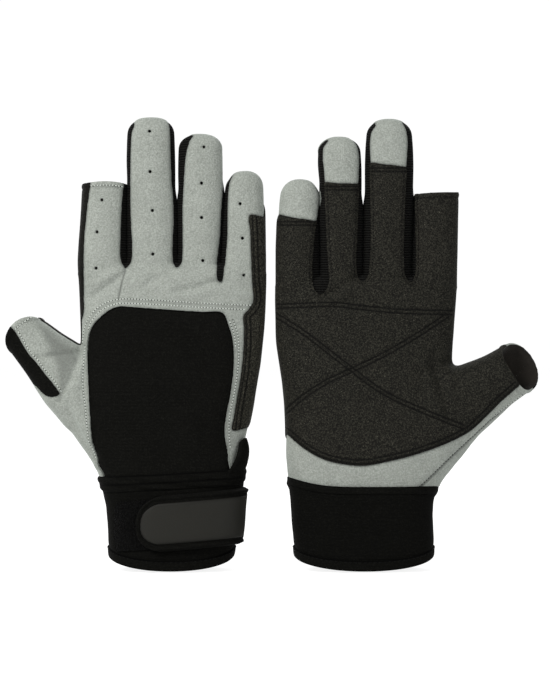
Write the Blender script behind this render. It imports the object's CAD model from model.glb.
# Looks of a pair of cut-finger sailing gloves standing side by side on their cuffs. Each glove is
# worked out in its own frame, in millimetres (back -Y, palm +Y, thumb -X, fingers +Z; z = 0 at the
# cuff's hem). Its skin is the level surface of a smooth union of hand, finger and thumb tubes, cut
# along the seams into panels that get thickness, grooves, puckers and real stitches. Glove a shows
# its back to the camera; glove b is turned round and shows its palm.
import math

import bmesh
import bpy
import numpy as np
from mathutils import Matrix, Vector


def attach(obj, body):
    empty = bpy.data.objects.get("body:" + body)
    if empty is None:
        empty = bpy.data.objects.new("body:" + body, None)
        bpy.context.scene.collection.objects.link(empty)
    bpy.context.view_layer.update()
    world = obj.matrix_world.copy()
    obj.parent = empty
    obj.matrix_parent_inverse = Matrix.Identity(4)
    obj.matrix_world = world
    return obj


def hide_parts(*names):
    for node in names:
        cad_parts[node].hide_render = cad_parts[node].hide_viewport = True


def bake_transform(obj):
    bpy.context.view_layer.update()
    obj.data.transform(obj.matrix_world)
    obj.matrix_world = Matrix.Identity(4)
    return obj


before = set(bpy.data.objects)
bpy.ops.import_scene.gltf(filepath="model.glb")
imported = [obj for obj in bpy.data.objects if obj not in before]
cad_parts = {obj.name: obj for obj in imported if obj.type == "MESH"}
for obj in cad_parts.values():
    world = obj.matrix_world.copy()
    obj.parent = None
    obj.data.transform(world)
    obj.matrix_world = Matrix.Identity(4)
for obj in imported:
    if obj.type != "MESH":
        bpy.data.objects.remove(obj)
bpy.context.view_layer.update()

CELL = 1.1  # grid cell of the skin
GRADIENT_STEP = 0.04
LINE_STEP = 1.2  # spacing of the points on smoothed outlines
HAND_POWER, FINGER_POWER = 2.5, 2.3  # squareness of the tube sections; 2 is an ellipse
HEIGHTS = np.arange(-30.0, 280.0, 0.5)  # where the smoothed tables are sampled
FINGERS = ("index", "middle", "ring", "little")
SUEDE, KNIT, GRIP, NEO, INSERT, KNUCKLE = range(6)  # labels of the skin's triangles
ON_THUMB = 10  # added to a label on the thumb


# ---- measurements ----------------------------------------------------------------------
# Tubes (hand, fingers, cuff): height, left x, right x, half depth. straight: height, x of the
# thumb side with the thumb left out. between: x that parts neighbouring fingers. touch: height up
# to which neighbours touch. thumb width: distance along, half width, half depth.
# landmarks: hem, cuff top, middle of the hand, finger roots, index opening, middle finger's tip.
# strap: low edge, high edge, x of its tip. index_rim: bow and tilt of the index opening.
SPEC = {
    "a": {
        "place": -0.05251, "turn": 0.0, "landmarks": (0, 49.29, 117.13, 160.59, 204.58, 240.355),
        "straight": [(49.29, -38.16), (69.43, -42.4), (90.63, -45.58), (115.54, -47.965),
                     (160.59, -49.82)],
        "hand": [(31.8, -36.04, 35.51, 19.5), (49.29, -38.16, 37.895, 19.5),
                 (58.3, -43.46, 37.63, 20.0), (69.43, -51.41, 38.425, 20.0),
                 (78.97, -57.77, 40.81, 19.5), (87.45, -58.83, 42.4, 18.8),
                 (98.05, -55.65, 43.99, 17.8), (108.65, -50.35, 45.845, 16.8),
                 (117.66, -48.23, 46.905, 15.8), (127.2, -48.23, 47.965, 15.0),
                 (139.39, -48.495, 48.654, 14.2), (151.05, -49.025, 49.025, 13.3),
                 (160.59, -49.555, 48.972, 12.6), (174.9, -49.82, 48.76, 12.0)],
        "fingers": {
            "index": [(148.4, -49.025, -24.592, 9.9), (164.3, -49.82, -24.592, 9.9),
                      (186.56, -48.23, -24.486, 9.7), (204.58, -47.17, -24.168, 9.4),
                      (217.3, -46.905, -24.115, 9.2)],
            "middle": [(148.4, -23.532, 2.332, 10.2), (160.59, -23.638, 2.332, 10.2),
                       (201.4, -24.38, 1.908, 9.9), (217.3, -25.016, 1.908, 9.5),
                       (227.9, -24.698, 1.537, 9.2), (240.355, -23.85, 0.954, 9.0)],
            "ring": [(148.4, 3.18, 24.857, 9.8), (160.59, 3.18, 24.857, 9.8),
                     (180.2, 3.18, 25.44, 9.7), (201.4, 2.65, 26.818, 9.4),
                     (208.82, 2.385, 27.136, 9.3), (219.95, 2.491, 26.818, 9.0),
                     (231.61, 3.18, 25.97, 8.8)],
            "little": [(148.4, 25.811, 48.866, 9.0), (160.59, 25.811, 48.866, 9.0),
                       (180.2, 26.712, 48.76, 8.9), (201.4, 28.408, 48.23, 8.5),
                       (212.0, 28.938, 47.7, 8.2)]},
        "ends": {"index": 205.322, "middle": 240.355, "ring": 231.61, "little": 211.841},
        "between": (-24.062, 2.756, 25.334), "touch": (205.11, 199.81, 203.52),
        "thumb": {"base": (-56.286, 102.449), "along": (-0.715, 0.699), "cut": 32.595,
                  "bulge": 2.385, "lean": 0.46,
                  "width": [(-31.8, 15.9, 13.0), (-22.26, 20.14, 14.5), (0, 18.02, 14.0),
                            (16.43, 14.204, 12.2), (32.86, 11.448, 10.8), (42.4, 10.865, 10.2)]},
        "cuff": [(0, -32.065, 30.475, 22.0), (5.3, -33.655, 32.065, 22.0),
                 (14.31, -34.185, 33.39, 21.5), (23.85, -34.45, 34.98, 21.0),
                 (33.92, -35.51, 36.04, 20.5), (41.87, -37.365, 37.1, 20.3),
                 (50.88, -39.75, 38.425, 20.2)],
        "strap": (11.66, 43.46, -18.02), "tuck": 0.0, "index_rim": (1.3, 0.0),
        "thumb_blend": 2.6, "insert_depth": 1.5, "skin_seed": 0.0, "cuff_seed": 1.0,
    },
    "b": {
        "place": 0.04899, "turn": math.pi, "landmarks": (0, 44.52, 108.65, 153.7, 199.28, 239.295),
        "straight": [(44.52, -39.75), (63.6, -43.46), (84.8, -45.58), (109.71, -45.845),
                     (153.7, -49.29)],
        "hand": [(26.5, -38.16, 38.69, 19.5), (44.52, -39.75, 39.485, 19.5),
                 (51.94, -45.58, 40.545, 20.0), (61.48, -53.53, 41.34, 20.2),
                 (71.02, -58.3, 40.916, 20.0), (79.5, -57.77, 41.075, 19.4),
                 (89.57, -53.0, 41.605, 18.5), (100.17, -47.7, 42.665, 17.5),
                 (109.71, -46.11, 44.255, 16.4), (121.37, -46.799, 45.845, 15.3),
                 (134.09, -47.7, 46.11, 14.5), (144.16, -48.495, 46.322, 13.5),
                 (153.7, -48.866, 46.11, 12.6), (169.6, -49.29, 46.11, 12.0)],
        "fingers": {
            "index": [(143.1, -48.76, -25.758, 9.9), (164.3, -49.078, -26.182, 9.9),
                      (180.2, -49.396, -26.924, 9.7), (199.28, -49.661, -27.03, 9.4),
                      (212.0, -49.82, -27.03, 9.2)],
            "middle": [(143.1, -24.91, 0.318, 10.2), (169.6, -25.228, -0.159, 10.0),
                       (185.5, -25.917, -0.318, 9.9), (198.75, -26.659, -0.212, 9.7),
                       (214.12, -27.03, -0.159, 9.4), (224.19, -26.712, -0.477, 9.2),
                       (239.03, -25.546, -1.59, 9.0)],
            "ring": [(143.1, 1.272, 22.578, 9.8), (169.6, 1.166, 22.896, 9.7),
                     (185.5, 0.954, 23.214, 9.5), (196.63, 0.742, 23.161, 9.4),
                     (204.05, 0.53, 23.797, 9.3), (215.18, 0.636, 24.91, 9.1),
                     (224.72, 1.378, 24.486, 8.9), (230.02, 2.12, 23.744, 8.8)],
            "little": [(143.1, 23.532, 46.11, 9.0), (169.6, 23.85, 46.004, 8.9),
                       (185.5, 24.38, 45.474, 8.6), (196.63, 23.691, 44.679, 8.4),
                       (207.23, 24.009, 43.195, 8.2)]},
        "ends": {"index": 200.128, "middle": 239.454, "ring": 230.02, "little": 207.389},
        "between": (-25.334, 0.742, 23.161), "touch": (199.81, 197.16, 203.52),
        "thumb": {"base": (-55.385, 90.1), "along": (-0.848, 0.530), "cut": 32.383,
                  "bulge": 2.12, "lean": 0.60,
                  "width": [(-31.8, 15.9, 13.5), (-21.2, 20.67, 15.0), (0, 18.338, 14.5),
                            (10.6, 16.112, 13.6), (19.61, 14.204, 12.8), (28.62, 13.78, 12.0),
                            (36.04, 14.204, 11.8), (42.4, 14.31, 11.8)]},
        "cuff": [(0, -35.245, 34.715, 22.0), (5.3, -37.1, 36.57, 22.0),
                 (14.84, -37.365, 37.1, 21.5), (27.56, -36.835, 38.16, 20.5),
                 (37.1, -37.365, 38.69, 20.2), (46.11, -40.28, 40.015, 20.2)],
        "strap": (10.6, 39.22, -18.02), "tuck": 1.0, "index_rim": (0.5, 0.55),
        "thumb_blend": 6.0, "insert_depth": -0.5, "skin_seed": 1.0, "cuff_seed": 2.6,
    },
}
HAND_TOP = 2.915  # the hand tube ends this far above the finger roots
TIP_CAP = {"middle": 9.275, "ring": 8.48, "little": 9.01}  # length of the rounded fingertips

# Outlines, (x, z). Those of the back are drawn on glove a and those of the palm on glove b; the
# other glove gets them by warp().
BACK_PANEL = [
    (-27.401, 140.132), (-7.314, 138.648), (14.999, 137.164), (26.924, 136.528), (29.68, 130.91),
    (31.959, 123.49), (32.86, 113.95), (32.489, 104.41), (31.005, 93.28), (29.044, 83.475),
    (28.09, 76.055), (28.302, 70.119), (29.468, 64.13), (29.998, 58.83), (29.998, 37.63),
    (-35.563, 37.63), (-36.305, 50.032), (-39.273, 55.968), (-41.87, 67.31), (-43.354, 82.15),
    (-44.096, 96.99), (-44.838, 111.83), (-44.944, 120.681), (-43.778, 126.617),
    (-41.234, 131.069), (-36.888, 135.362), (-32.33, 138.648)]
BACK_SLOTS = [  # knitted sides between the fingers, from the index finger on
    [(-25.334, 223.13), (-25.334, 212.53), (-25.546, 204.58), (-26.288, 197.69),
     (-26.765, 190.27), (-27.03, 182.85), (-27.401, 171.72), (-27.348, 165.89),
     (-26.659, 162.445), (-24.804, 160.749), (-22.631, 162.445), (-21.412, 168.54),
     (-21.571, 174.37), (-22.048, 181.79), (-22.419, 190.27), (-22.472, 205.11),
     (-22.366, 217.83), (-22.101, 227.37), (-21.624, 232.14), (-20.352, 236.38),
     (-21.73, 239.56), (-25.44, 234.79)],
    [(-2.014, 237.44), (-1.378, 234.79), (-0.636, 219.95), (-0.265, 207.972), (0.53, 197.69),
     (0.901, 186.56), (0.53, 176.755), (0.318, 168.01), (0.848, 162.71), (2.597, 160.643),
     (4.558, 162.975), (5.194, 169.335), (5.194, 179.14), (5.3, 193.98), (6.095, 208.82),
     (7.102, 219.95), (8.162, 224.349), (9.434, 228.059), (10.918, 230.762), (7.95, 234.79),
     (2.12, 241.15)],
    [(29.415, 223.13), (28.408, 215.18), (27.507, 207.23), (26.765, 199.068), (26.182, 190.27),
     (25.652, 179.14), (24.592, 169.335), (23.638, 160.378), (23.691, 155.82), (24.539, 153.488),
     (25.546, 152.852), (26.606, 153.7), (27.136, 156.35), (27.878, 164.3), (28.832, 175.43),
     (29.044, 186.56), (29.256, 197.69), (30.316, 206.17), (32.542, 211.205), (33.92, 217.83)]]
INDEX_EDGE = [
    (-59.36, 209.35), (-43.195, 209.35), (-43.566, 204.05), (-45.368, 190.27), (-46.852, 175.43),
    (-47.17, 160.59), (-47.17, 145.75), (-48.442, 133.03), (-59.36, 127.73)]
WRAP = [  # the reinforcement where it comes round the little-finger side
    (62.54, 186.772), (49.237, 187.037), (41.022, 188.044), (41.393, 179.14), (41.764, 168.01),
    (42.4, 153.17), (42.824, 142.04), (40.545, 138.33), (37.842, 135.15), (38.054, 128.26),
    (37.683, 115.54), (36.57, 104.41), (34.344, 91.16), (32.86, 82.15), (31.959, 74.571),
    (39.538, 75.578), (47.7, 76.32), (67.84, 77.91)]
THUMB_INSERT = [
    (-82.892, 126.352), (-79.818, 120.893), (-76.002, 114.745), (-72.239, 110.505),
    (-67.522, 104.357), (-62.752, 98.686), (-59.678, 93.492), (-63.07, 91.902), (-66.78, 92.432),
    (-70.225, 94.976), (-73.67, 98.05), (-85.86, 98.58), (-101.76, 117.13), (-91.16, 134.09)]
THUMB_SHADE = [
    (-72.08, 132.5), (-64.66, 127.2), (-57.24, 121.9), (-49.29, 116.6), (-51.41, 108.65),
    (-55.12, 101.23), (-58.83, 94.34), (-60.42, 99.11), (-60.95, 106.53), (-63.6, 112.36),
    (-67.84, 113.42), (-65.19, 117.66), (-67.84, 123.49)]
OVERLAY = [
    (65.455, 92.22), (53.795, 82.15), (47.435, 76.585), (40.068, 71.656), (31.429, 64.66),
    (21.041, 59.201), (10.653, 56.763), (0.265, 56.074), (-10.176, 57.77), (-27.454, 62.01),
    (-44.785, 68.211), (-56.445, 74.412), (-63.971, 81.302), (-72.61, 89.888), (-81.779, 97.944),
    (-98.845, 115.01), (-110.505, 131.97), (-110.505, 227.37), (-27.825, 227.37),
    (-27.825, 214.544), (-12.985, 214.862), (-0.53, 215.339), (-0.53, 206.064),
    (12.455, 205.004), (22.737, 204.792), (22.737, 185.818), (33.655, 186.348),
    (65.455, 187.885)]
PALM_SLOTS = [  # knitted sides between the fingers, from the little finger on
    [(28.885, 212.53), (25.44, 205.905), (22.949, 198.22), (23.797, 191.86), (24.698, 186.03),
     (26.235, 179.14), (27.295, 165.36), (27.507, 155.29), (26.235, 148.93), (23.055, 146.015),
     (19.875, 148.93), (18.391, 154.23), (18.921, 165.36), (19.663, 179.14), (20.352, 192.92),
     (20.776, 204.05), (21.465, 212.53), (22.048, 219.42), (21.518, 224.19), (18.815, 228.695),
     (21.995, 232.67), (30.475, 224.19)],
    [(5.83, 228.695), (3.975, 226.31), (2.438, 221.01), (2.597, 206.329), (3.127, 195.57),
     (3.71, 179.14), (4.293, 162.18), (3.498, 155.82), (0.954, 152.64), (-2.014, 155.29),
     (-3.127, 160.59), (-3.816, 186.03), (-3.233, 214.12), (-3.074, 227.9), (-3.975, 232.67),
     (-6.095, 236.115), (-1.325, 242.21), (6.095, 233.73)],
    [(-20.14, 238.235), (-22.26, 233.995), (-23.32, 227.9), (-22.737, 215.18),
     (-22.154, 206.17), (-21.253, 186.03), (-20.988, 162.18), (-21.995, 155.29),
     (-24.645, 152.64), (-27.189, 155.82), (-27.825, 162.71), (-27.825, 179.14),
     (-27.507, 197.69), (-27.613, 206.17), (-29.945, 216.77), (-28.885, 242.21)]]
PERFORATIONS = [
    (-37.206, 196.259), (-39.856, 179.352), (-40.386, 160.166), (-11.925, 232.67),
    (-11.713, 211.205), (-10.441, 190.641), (-10.229, 167.586), (16.854, 224.296),
    (15.529, 205.163), (15.582, 186.931), (16.271, 164.194), (35.881, 194.298),
    (37.153, 176.013), (38.001, 156.509)]
HOLE_RADIUS = 0.84
KNUCKLE_FRAME = [(78.44, 139.284), (78.44, 249.63), (-69.96, 249.63), (-69.96, 119.78)]

# Seams and folds, (x, z), of the back (on glove a) and of the palm (on glove b).
BACK_LINES = {
    "knuckle": [(-46.64, 119.78), (-45.156, 128.79), (-41.764, 135.15), (-36.305, 139.92),
                (-28.885, 142.464), (-11.66, 142.252), (5.83, 141.192), (23.32, 140.132),
                (42.4, 139.284)],
    "index_panel": [(-24.804, 160.749), (-26.182, 154.23), (-28.408, 143.63)],
    "left_row": [(-46.322, 119.25), (-47.064, 108.65), (-46.958, 96.99), (-45.58, 85.86),
                 (-44.308, 74.73), (-42.188, 63.07), (-39.22, 53.53)],
    "right_row": [(32.118, 133.03), (34.768, 124.55), (35.298, 116.07), (34.609, 106.0),
                  (32.754, 93.81), (30.528, 83.21), (29.998, 73.67), (30.74, 64.13)],
    "thumb_fold": [(-47.965, 117.13), (-50.35, 109.71), (-53.265, 102.29), (-57.24, 94.87),
                   (-59.095, 89.57)],
    "thumb_fold_2": [(-56.18, 88.51), (-53.0, 80.03), (-47.17, 69.43), (-40.81, 59.89)],
    "thumb_fold_3": [(-46.64, 111.83), (-50.88, 98.58), (-48.76, 84.27), (-43.46, 69.43)],
    "crease_1": [(-24.91, 158.47), (-29.15, 154.23), (-34.98, 149.99), (-41.87, 145.75)],
    "ridge_1": [(-28.09, 162.18), (-33.92, 156.88), (-40.81, 152.64)],
    "crease_2": [(25.44, 153.435), (18.55, 151.58), (10.6, 149.195), (2.12, 148.4)],
    "ridge_2": [(22.26, 149.46), (14.84, 146.81), (6.36, 145.485)],
    "crease_3": [(-0.53, 159.53), (-5.83, 156.35), (-12.72, 152.11)],
    "thumb_dip": [(-49.82, 116.335), (-55.12, 115.275), (-60.42, 114.48), (-65.72, 113.314),
                  (-71.02, 112.89)],
    "insert": THUMB_INSERT[:7],
}
PALM_LINES = {
    "across": [(45.845, 139.814), (30.475, 140.556), (14.098, 140.768), (3.71, 139.549),
               (-17.066, 137.482), (-48.495, 136.528)],
    "x_one": [(45.845, 134.938), (31.429, 125.716), (7.155, 107.06), (-10.176, 94.499),
              (-30.952, 84.8), (-52.205, 76.32)],
    "x_two": [(-44.255, 135.256), (-24.009, 122.218), (-6.678, 112.519), (6.466, 106.318),
              (21.041, 99.375), (34.874, 89.676), (42.135, 82.362)],
    "thumb_seam": [(-86.39, 92.75), (-69.695, 80.719), (-58.247, 70.384), (-46.746, 59.996),
                   (-34.185, 48.018), (-28.09, 42.665)],
    "web": [(-36.305, 113.42), (-38.425, 104.94), (-41.075, 95.93), (-43.725, 87.98),
            (-45.315, 79.5)],
    "web_2": [(-29.415, 103.88), (-36.305, 107.06), (-43.725, 110.24)],
    "web_ridge": [(-44.255, 106.53), (-46.375, 97.52), (-47.965, 86.92)],
    "web_ridge_2": [(-32.065, 110.77), (-34.185, 101.23), (-37.365, 91.69), (-39.485, 84.27)],
    "crotch_1": [(21.995, 144.69), (16.695, 147.34), (10.865, 151.05), (5.035, 154.23)],
    "crotch_1_ridge": [(24.115, 140.98), (15.635, 143.1), (8.215, 147.34)],
    "crotch_2": [(-25.705, 152.64), (-30.475, 149.99), (-36.305, 149.99)],
}
CROSSING = ("across", "x_one", "x_two")  # the palm's double rows
DOUBLE_ROW = 1.05  # from the middle line to each row
# Rows under the overlay's top edges: first x, last x, edge height; then the rows' drops.
TOP_EDGES = [(-1.325, -24.645, 214.703), (22.26, 0.265, 205.004), (45.845, 23.055, 186.348)]
TOP_ROW_DROPS, TOP_ROW_SAG = (1.59, 3.392), 0.106
# Narrow grooves of the back's seams: line, depth (negative sinks in).
GROOVE_WIDTH = 0.55
BACK_GROOVES = [("knuckle", -0.12), ("index_panel", -0.34), ("left_row", -0.12),
                ("right_row", -0.12)]
# Wide features: line, depth, width[, pucker height[, pucker reach, pucker period]].
BACK_FOLDS = [
    ("knuckle", -0.12, 1.7, 0.12), ("thumb_fold", -1.6, 1.6), ("thumb_fold_2", -1.3, 1.7),
    ("thumb_fold_3", 0.9, 3.0), ("crease_1", -1.6, 1.9), ("ridge_1", 0.7, 2.6),
    ("crease_2", -1.5, 1.8), ("ridge_2", 0.6, 2.4), ("crease_3", -0.9, 2.2),
    ("thumb_dip", -1.2, 1.5), ("left_row", -0.05, 1.7, 0.10), ("right_row", -0.05, 1.7, 0.10)]
PALM_FOLDS = [(name, -0.16, 1.8, 0.12, 3.5, 8) for name in CROSSING] + [
    ("thumb_seam", -0.30, 1.7, 0.12), ("web", -1.5, 2.1), ("web_2", -0.9, 2.4),
    ("web_ridge", 1.1, 1.9), ("web_ridge_2", 0.8, 1.8), ("crotch_1", -1.7, 1.8),
    ("crotch_1_ridge", 1.1, 2.2), ("crotch_2", -1.0, 1.9)]


# ---- small numeric tools ---------------------------------------------------------------
def smooth_columns(rows, sigma):
    """Columns after the first, smoothed over the first and sampled at HEIGHTS."""
    rows = np.array(rows, float)
    reach = int(3 * sigma / 0.5)
    kernel = np.exp(-0.5 * (np.arange(-reach, reach + 1) * 0.5 / sigma) ** 2)
    kernel /= kernel.sum()
    out = []
    for k in range(1, rows.shape[1]):
        column = np.interp(HEIGHTS, rows[:, 0], rows[:, k])
        out.append(np.convolve(np.pad(column, reach, "edge"), kernel, "valid"))
    return out


def at(column, height):
    return np.interp(height, HEIGHTS, column)


def smooth(t):
    t = np.clip(t, 0, 1)
    return t * t * (3 - 2 * t)


def bell(distance, width):
    return np.exp(-((distance / width) ** 2))


def signed_power(value, power):
    return np.sign(value) * np.abs(value) ** power


def smooth_max(a, b, radius):
    h = np.maximum(radius - np.abs(a - b), 0) / radius
    return np.maximum(a, b) + h * h * radius * 0.25


def unit_rows(vectors):
    return vectors / np.maximum(np.linalg.norm(vectors, axis=1, keepdims=True), 1e-9)


def section(dx, dy, width, depth, power, cap=0.0, cap_height=1.0):
    """About the distance inside a rounded-rectangle section; cap rounds the tube's end."""
    a, b, c = np.abs(dx) / width, np.abs(dy) / depth, cap
    r = np.maximum((a**power + b**power + c**power) ** (1 / power), 1e-6)
    k = power - 1
    slope = np.sqrt((a**k / width) ** 2 + (b**k / depth) ** 2 + (c**k / cap_height) ** 2) / r**k
    return (1 - r) / np.maximum(slope, 1 / np.maximum(width, depth))


def smooth_line(points):
    """A Catmull-Rom curve through the points, resampled."""
    points = np.array(points, float)
    q = np.vstack([2 * points[0] - points[1], points, 2 * points[-1] - points[-2]])
    out = []
    for i in range(1, len(q) - 2):
        count = max(1, int(np.linalg.norm(q[i + 1] - q[i]) / LINE_STEP))
        # centripetal knots keep the curve from looping between uneven points
        t = [0.0]
        for j in (i - 1, i, i + 1):
            t.append(t[-1] + max(1e-3, np.linalg.norm(q[j + 1] - q[j])) ** 0.5)
        for s in np.linspace(0, 1, count, endpoint=False):
            u = t[1] + (t[2] - t[1]) * s
            a1, a2, a3 = (
                (t[k + 1] - u) / (t[k + 1] - t[k]) * q[i - 1 + k]
                + (u - t[k]) / (t[k + 1] - t[k]) * q[i + k] for k in range(3))
            b1 = (t[2] - u) / (t[2] - t[0]) * a1 + (u - t[0]) / (t[2] - t[0]) * a2
            b2 = (t[3] - u) / (t[3] - t[1]) * a2 + (u - t[1]) / (t[3] - t[1]) * a3
            out.append((t[2] - u) / (t[2] - t[1]) * b1 + (u - t[1]) / (t[2] - t[1]) * b2)
    out.append(points[-1])
    return np.array(out)


def offset_line(line, by):
    tangent = unit_rows(np.gradient(line, axis=0))
    return line + np.stack([-tangent[:, 1], tangent[:, 0]], 1) * by


def lengths_along(line):
    steps = np.linalg.norm(np.diff(line, axis=0), axis=1)
    return np.concatenate([[0], np.cumsum(steps)])


def near_line(xz, line):
    """(distance, length along) from (x, z) points to a polyline; 1e9 for those far off."""
    a, b = line[:-1], line[1:]
    ab = b - a
    square = np.maximum((ab**2).sum(1), 1e-12)
    start = np.concatenate([[0], np.cumsum(np.sqrt(square))[:-1]])
    best = np.full(len(xz), 1e9)
    along = np.zeros(len(xz))
    low, high = line.min(0) - 12, line.max(0) + 12
    near = np.where(((xz > low) & (xz < high)).all(1))[0]
    # in chunks, to bound the memory
    for chunk in np.array_split(near, len(near) * len(a) // 3000000 + 1):
        if not len(chunk):
            continue
        q = xz[chunk]
        t = np.clip(((q[:, None] - a) * ab).sum(2) / square, 0, 1)
        distance = np.linalg.norm(q[:, None] - (a + t[..., None] * ab), axis=2)
        k = distance.argmin(1)
        rows = np.arange(len(chunk))
        best[chunk] = distance[rows, k]
        along[chunk] = start[k] + t[rows, k] * np.sqrt(square[k])
    return best, along


def outline_distance(points, outline):
    """Signed distance of 3-D points, seen along y, to a closed outline; negative inside."""
    xz = points[:, ::2]
    loop = np.vstack([outline, outline[:1]])
    distance = np.minimum(near_line(xz, loop)[0], 60.0)
    inside = np.zeros(len(xz), bool)
    x, z = xz[:, 0], xz[:, 1]
    for (x0, z0), (x1, z1) in zip(loop[:-1], loop[1:]):
        if z0 == z1:
            continue
        inside ^= ((z0 > z) != (z1 > z)) & (x < (x1 - x0) * (z - z0) / (z1 - z0) + x0)
    return np.where(inside, -distance, distance)


RNG = np.random.default_rng(7)
WAVES = []  # wave vector, phase, weight, octave
for octave, (wavelength, weight) in enumerate(((34, 1.0), (19, 0.55), (11, 0.35), (6.5, 0.2))):
    for _ in range(9):
        wave = RNG.normal(size=3)
        wave = wave / np.linalg.norm(wave) * 2 * math.pi / wavelength
        WAVES.append((wave, RNG.uniform(0, 6.28), weight, octave))


def ripple(points, first, last, seed):
    """A smooth unevenness, about -1 to 1, from the waves of the octaves first to last."""
    out = np.zeros(points.shape[:-1])
    total = 0.0
    for wave, phase, weight, octave in WAVES:
        if first <= octave <= last:
            out += weight * np.sin(points @ wave + phase + seed * (1.7 + octave))
            total += weight * 0.45
    return out / total * 0.45


# ---- level surface to triangles --------------------------------------------------------
def gradient(field, points):
    out = np.empty_like(points)
    for k in range(3):
        step = np.zeros(3)
        step[k] = GRADIENT_STEP
        ahead, behind = points + step, points - step
        out[:, k] = (field(*ahead.T) - field(*behind.T)) / (2 * GRADIENT_STEP)
    return out


def outward(field, points):
    return unit_rows(-gradient(field, points))


def project(points, field, rounds, longest=0.6):
    """Moves points onto field = 0, no step longer than `longest`."""
    for _ in range(rounds):
        g = gradient(field, points)
        step = -(field(*points.T) / np.maximum((g**2).sum(1), 1e-4))[:, None] * g
        size = np.linalg.norm(step, axis=1, keepdims=True)
        points = points + step * np.minimum(1, longest / np.maximum(size, 1e-9))
    return points


def surface_nets(field, low, high):
    """The level surface in a box, relaxed along itself; points and outward-facing triangles."""
    low, high = np.array(low, float), np.array(high, float)
    n = np.ceil((high - low) / CELL).astype(int) + 1
    axes = [low[i] + CELL * np.arange(n[i]) for i in range(3)]
    X, Y, Z = np.meshgrid(*axes, indexing="ij")
    values = field(X.ravel(), Y.ravel(), Z.ravel()).reshape(n)
    solid = values > 0
    corners = [(a, b, c) for a in (0, 1) for b in (0, 1) for c in (0, 1)]
    filled = sum(
        solid[a : n[0] - 1 + a, b : n[1] - 1 + b, c : n[2] - 1 + c].astype(np.int8)
        for a, b, c in corners)
    mixed = (filled > 0) & (filled < 8)
    cells = np.argwhere(mixed)
    index = -np.ones(mixed.shape, int)
    index[mixed] = np.arange(len(cells))

    # one point per mixed cell: the mean of its edge crossings
    total, count = np.zeros((len(cells), 3)), np.zeros(len(cells))
    for corner in corners:
        for axis in range(3):
            if corner[axis]:
                continue
            other = list(corner)
            other[axis] = 1
            v0, v1 = (values[tuple((cells + end).T)] for end in (corner, other))
            cross = (v0 > 0) != (v1 > 0)
            t = np.where(cross, v0 / np.where(cross, v0 - v1, 1), 0)
            p = np.tile(np.array(corner, float), (len(cells), 1))
            p[:, axis] += t
            total[cross] += p[cross]
            count += cross
    points = low + CELL * (cells + total / count[:, None])

    quads = []
    for axis in range(3):
        a, b = (axis + 1) % 3, (axis + 2) % 3
        near = solid.take(np.arange(n[axis] - 1), axis)
        far = solid.take(np.arange(1, n[axis]), axis)
        e = np.argwhere(near != far)
        e = e[(e[:, a] > 0) & (e[:, b] > 0) & (e[:, a] < n[a] - 1) & (e[:, b] < n[b] - 1)]
        sides = []
        for da, db in ((1, 1), (0, 1), (0, 0), (1, 0)):
            q = e.copy()
            q[:, a] -= da
            q[:, b] -= db
            sides.append(index[tuple(q.T)])
        q = np.stack(sides, 1)
        flip = ~near[tuple(e.T)]
        q[flip] = q[flip][:, ::-1]
        quads.append(q)
    Q = np.concatenate(quads)
    edges = np.concatenate([Q[:, [0, 1]], Q[:, [1, 2]], Q[:, [2, 3]], Q[:, [3, 0]]])
    edges = np.unique(np.sort(edges, 1), axis=0)
    start, end = np.concatenate([edges, edges[:, ::-1]]).T
    count = np.bincount(start, minlength=len(points))
    points = project(points, field, 2)
    for _ in range(4):
        sums = [np.bincount(start, points[end, k], len(points)) for k in range(3)]
        mean = np.stack(sums, 1) / count[:, None]
        points = project(points + 0.6 * (mean - points), field, 1)
    points = project(points, field, 1)
    d1 = np.linalg.norm(points[Q[:, 0]] - points[Q[:, 2]], axis=1)
    d2 = np.linalg.norm(points[Q[:, 1]] - points[Q[:, 3]], axis=1)
    first = (d1 <= d2)[:, None]
    tris = np.concatenate([np.where(first, Q[:, [0, 1, 2]], Q[:, [0, 1, 3]]),
                           np.where(first, Q[:, [0, 2, 3]], Q[:, [1, 2, 3]])])
    return points, tris


def compact(points, tris):
    """Leaves out the points that no triangle uses."""
    used = np.unique(tris)
    new = -np.ones(len(points), int)
    new[used] = np.arange(len(used))
    return points[used], new[tris]


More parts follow.
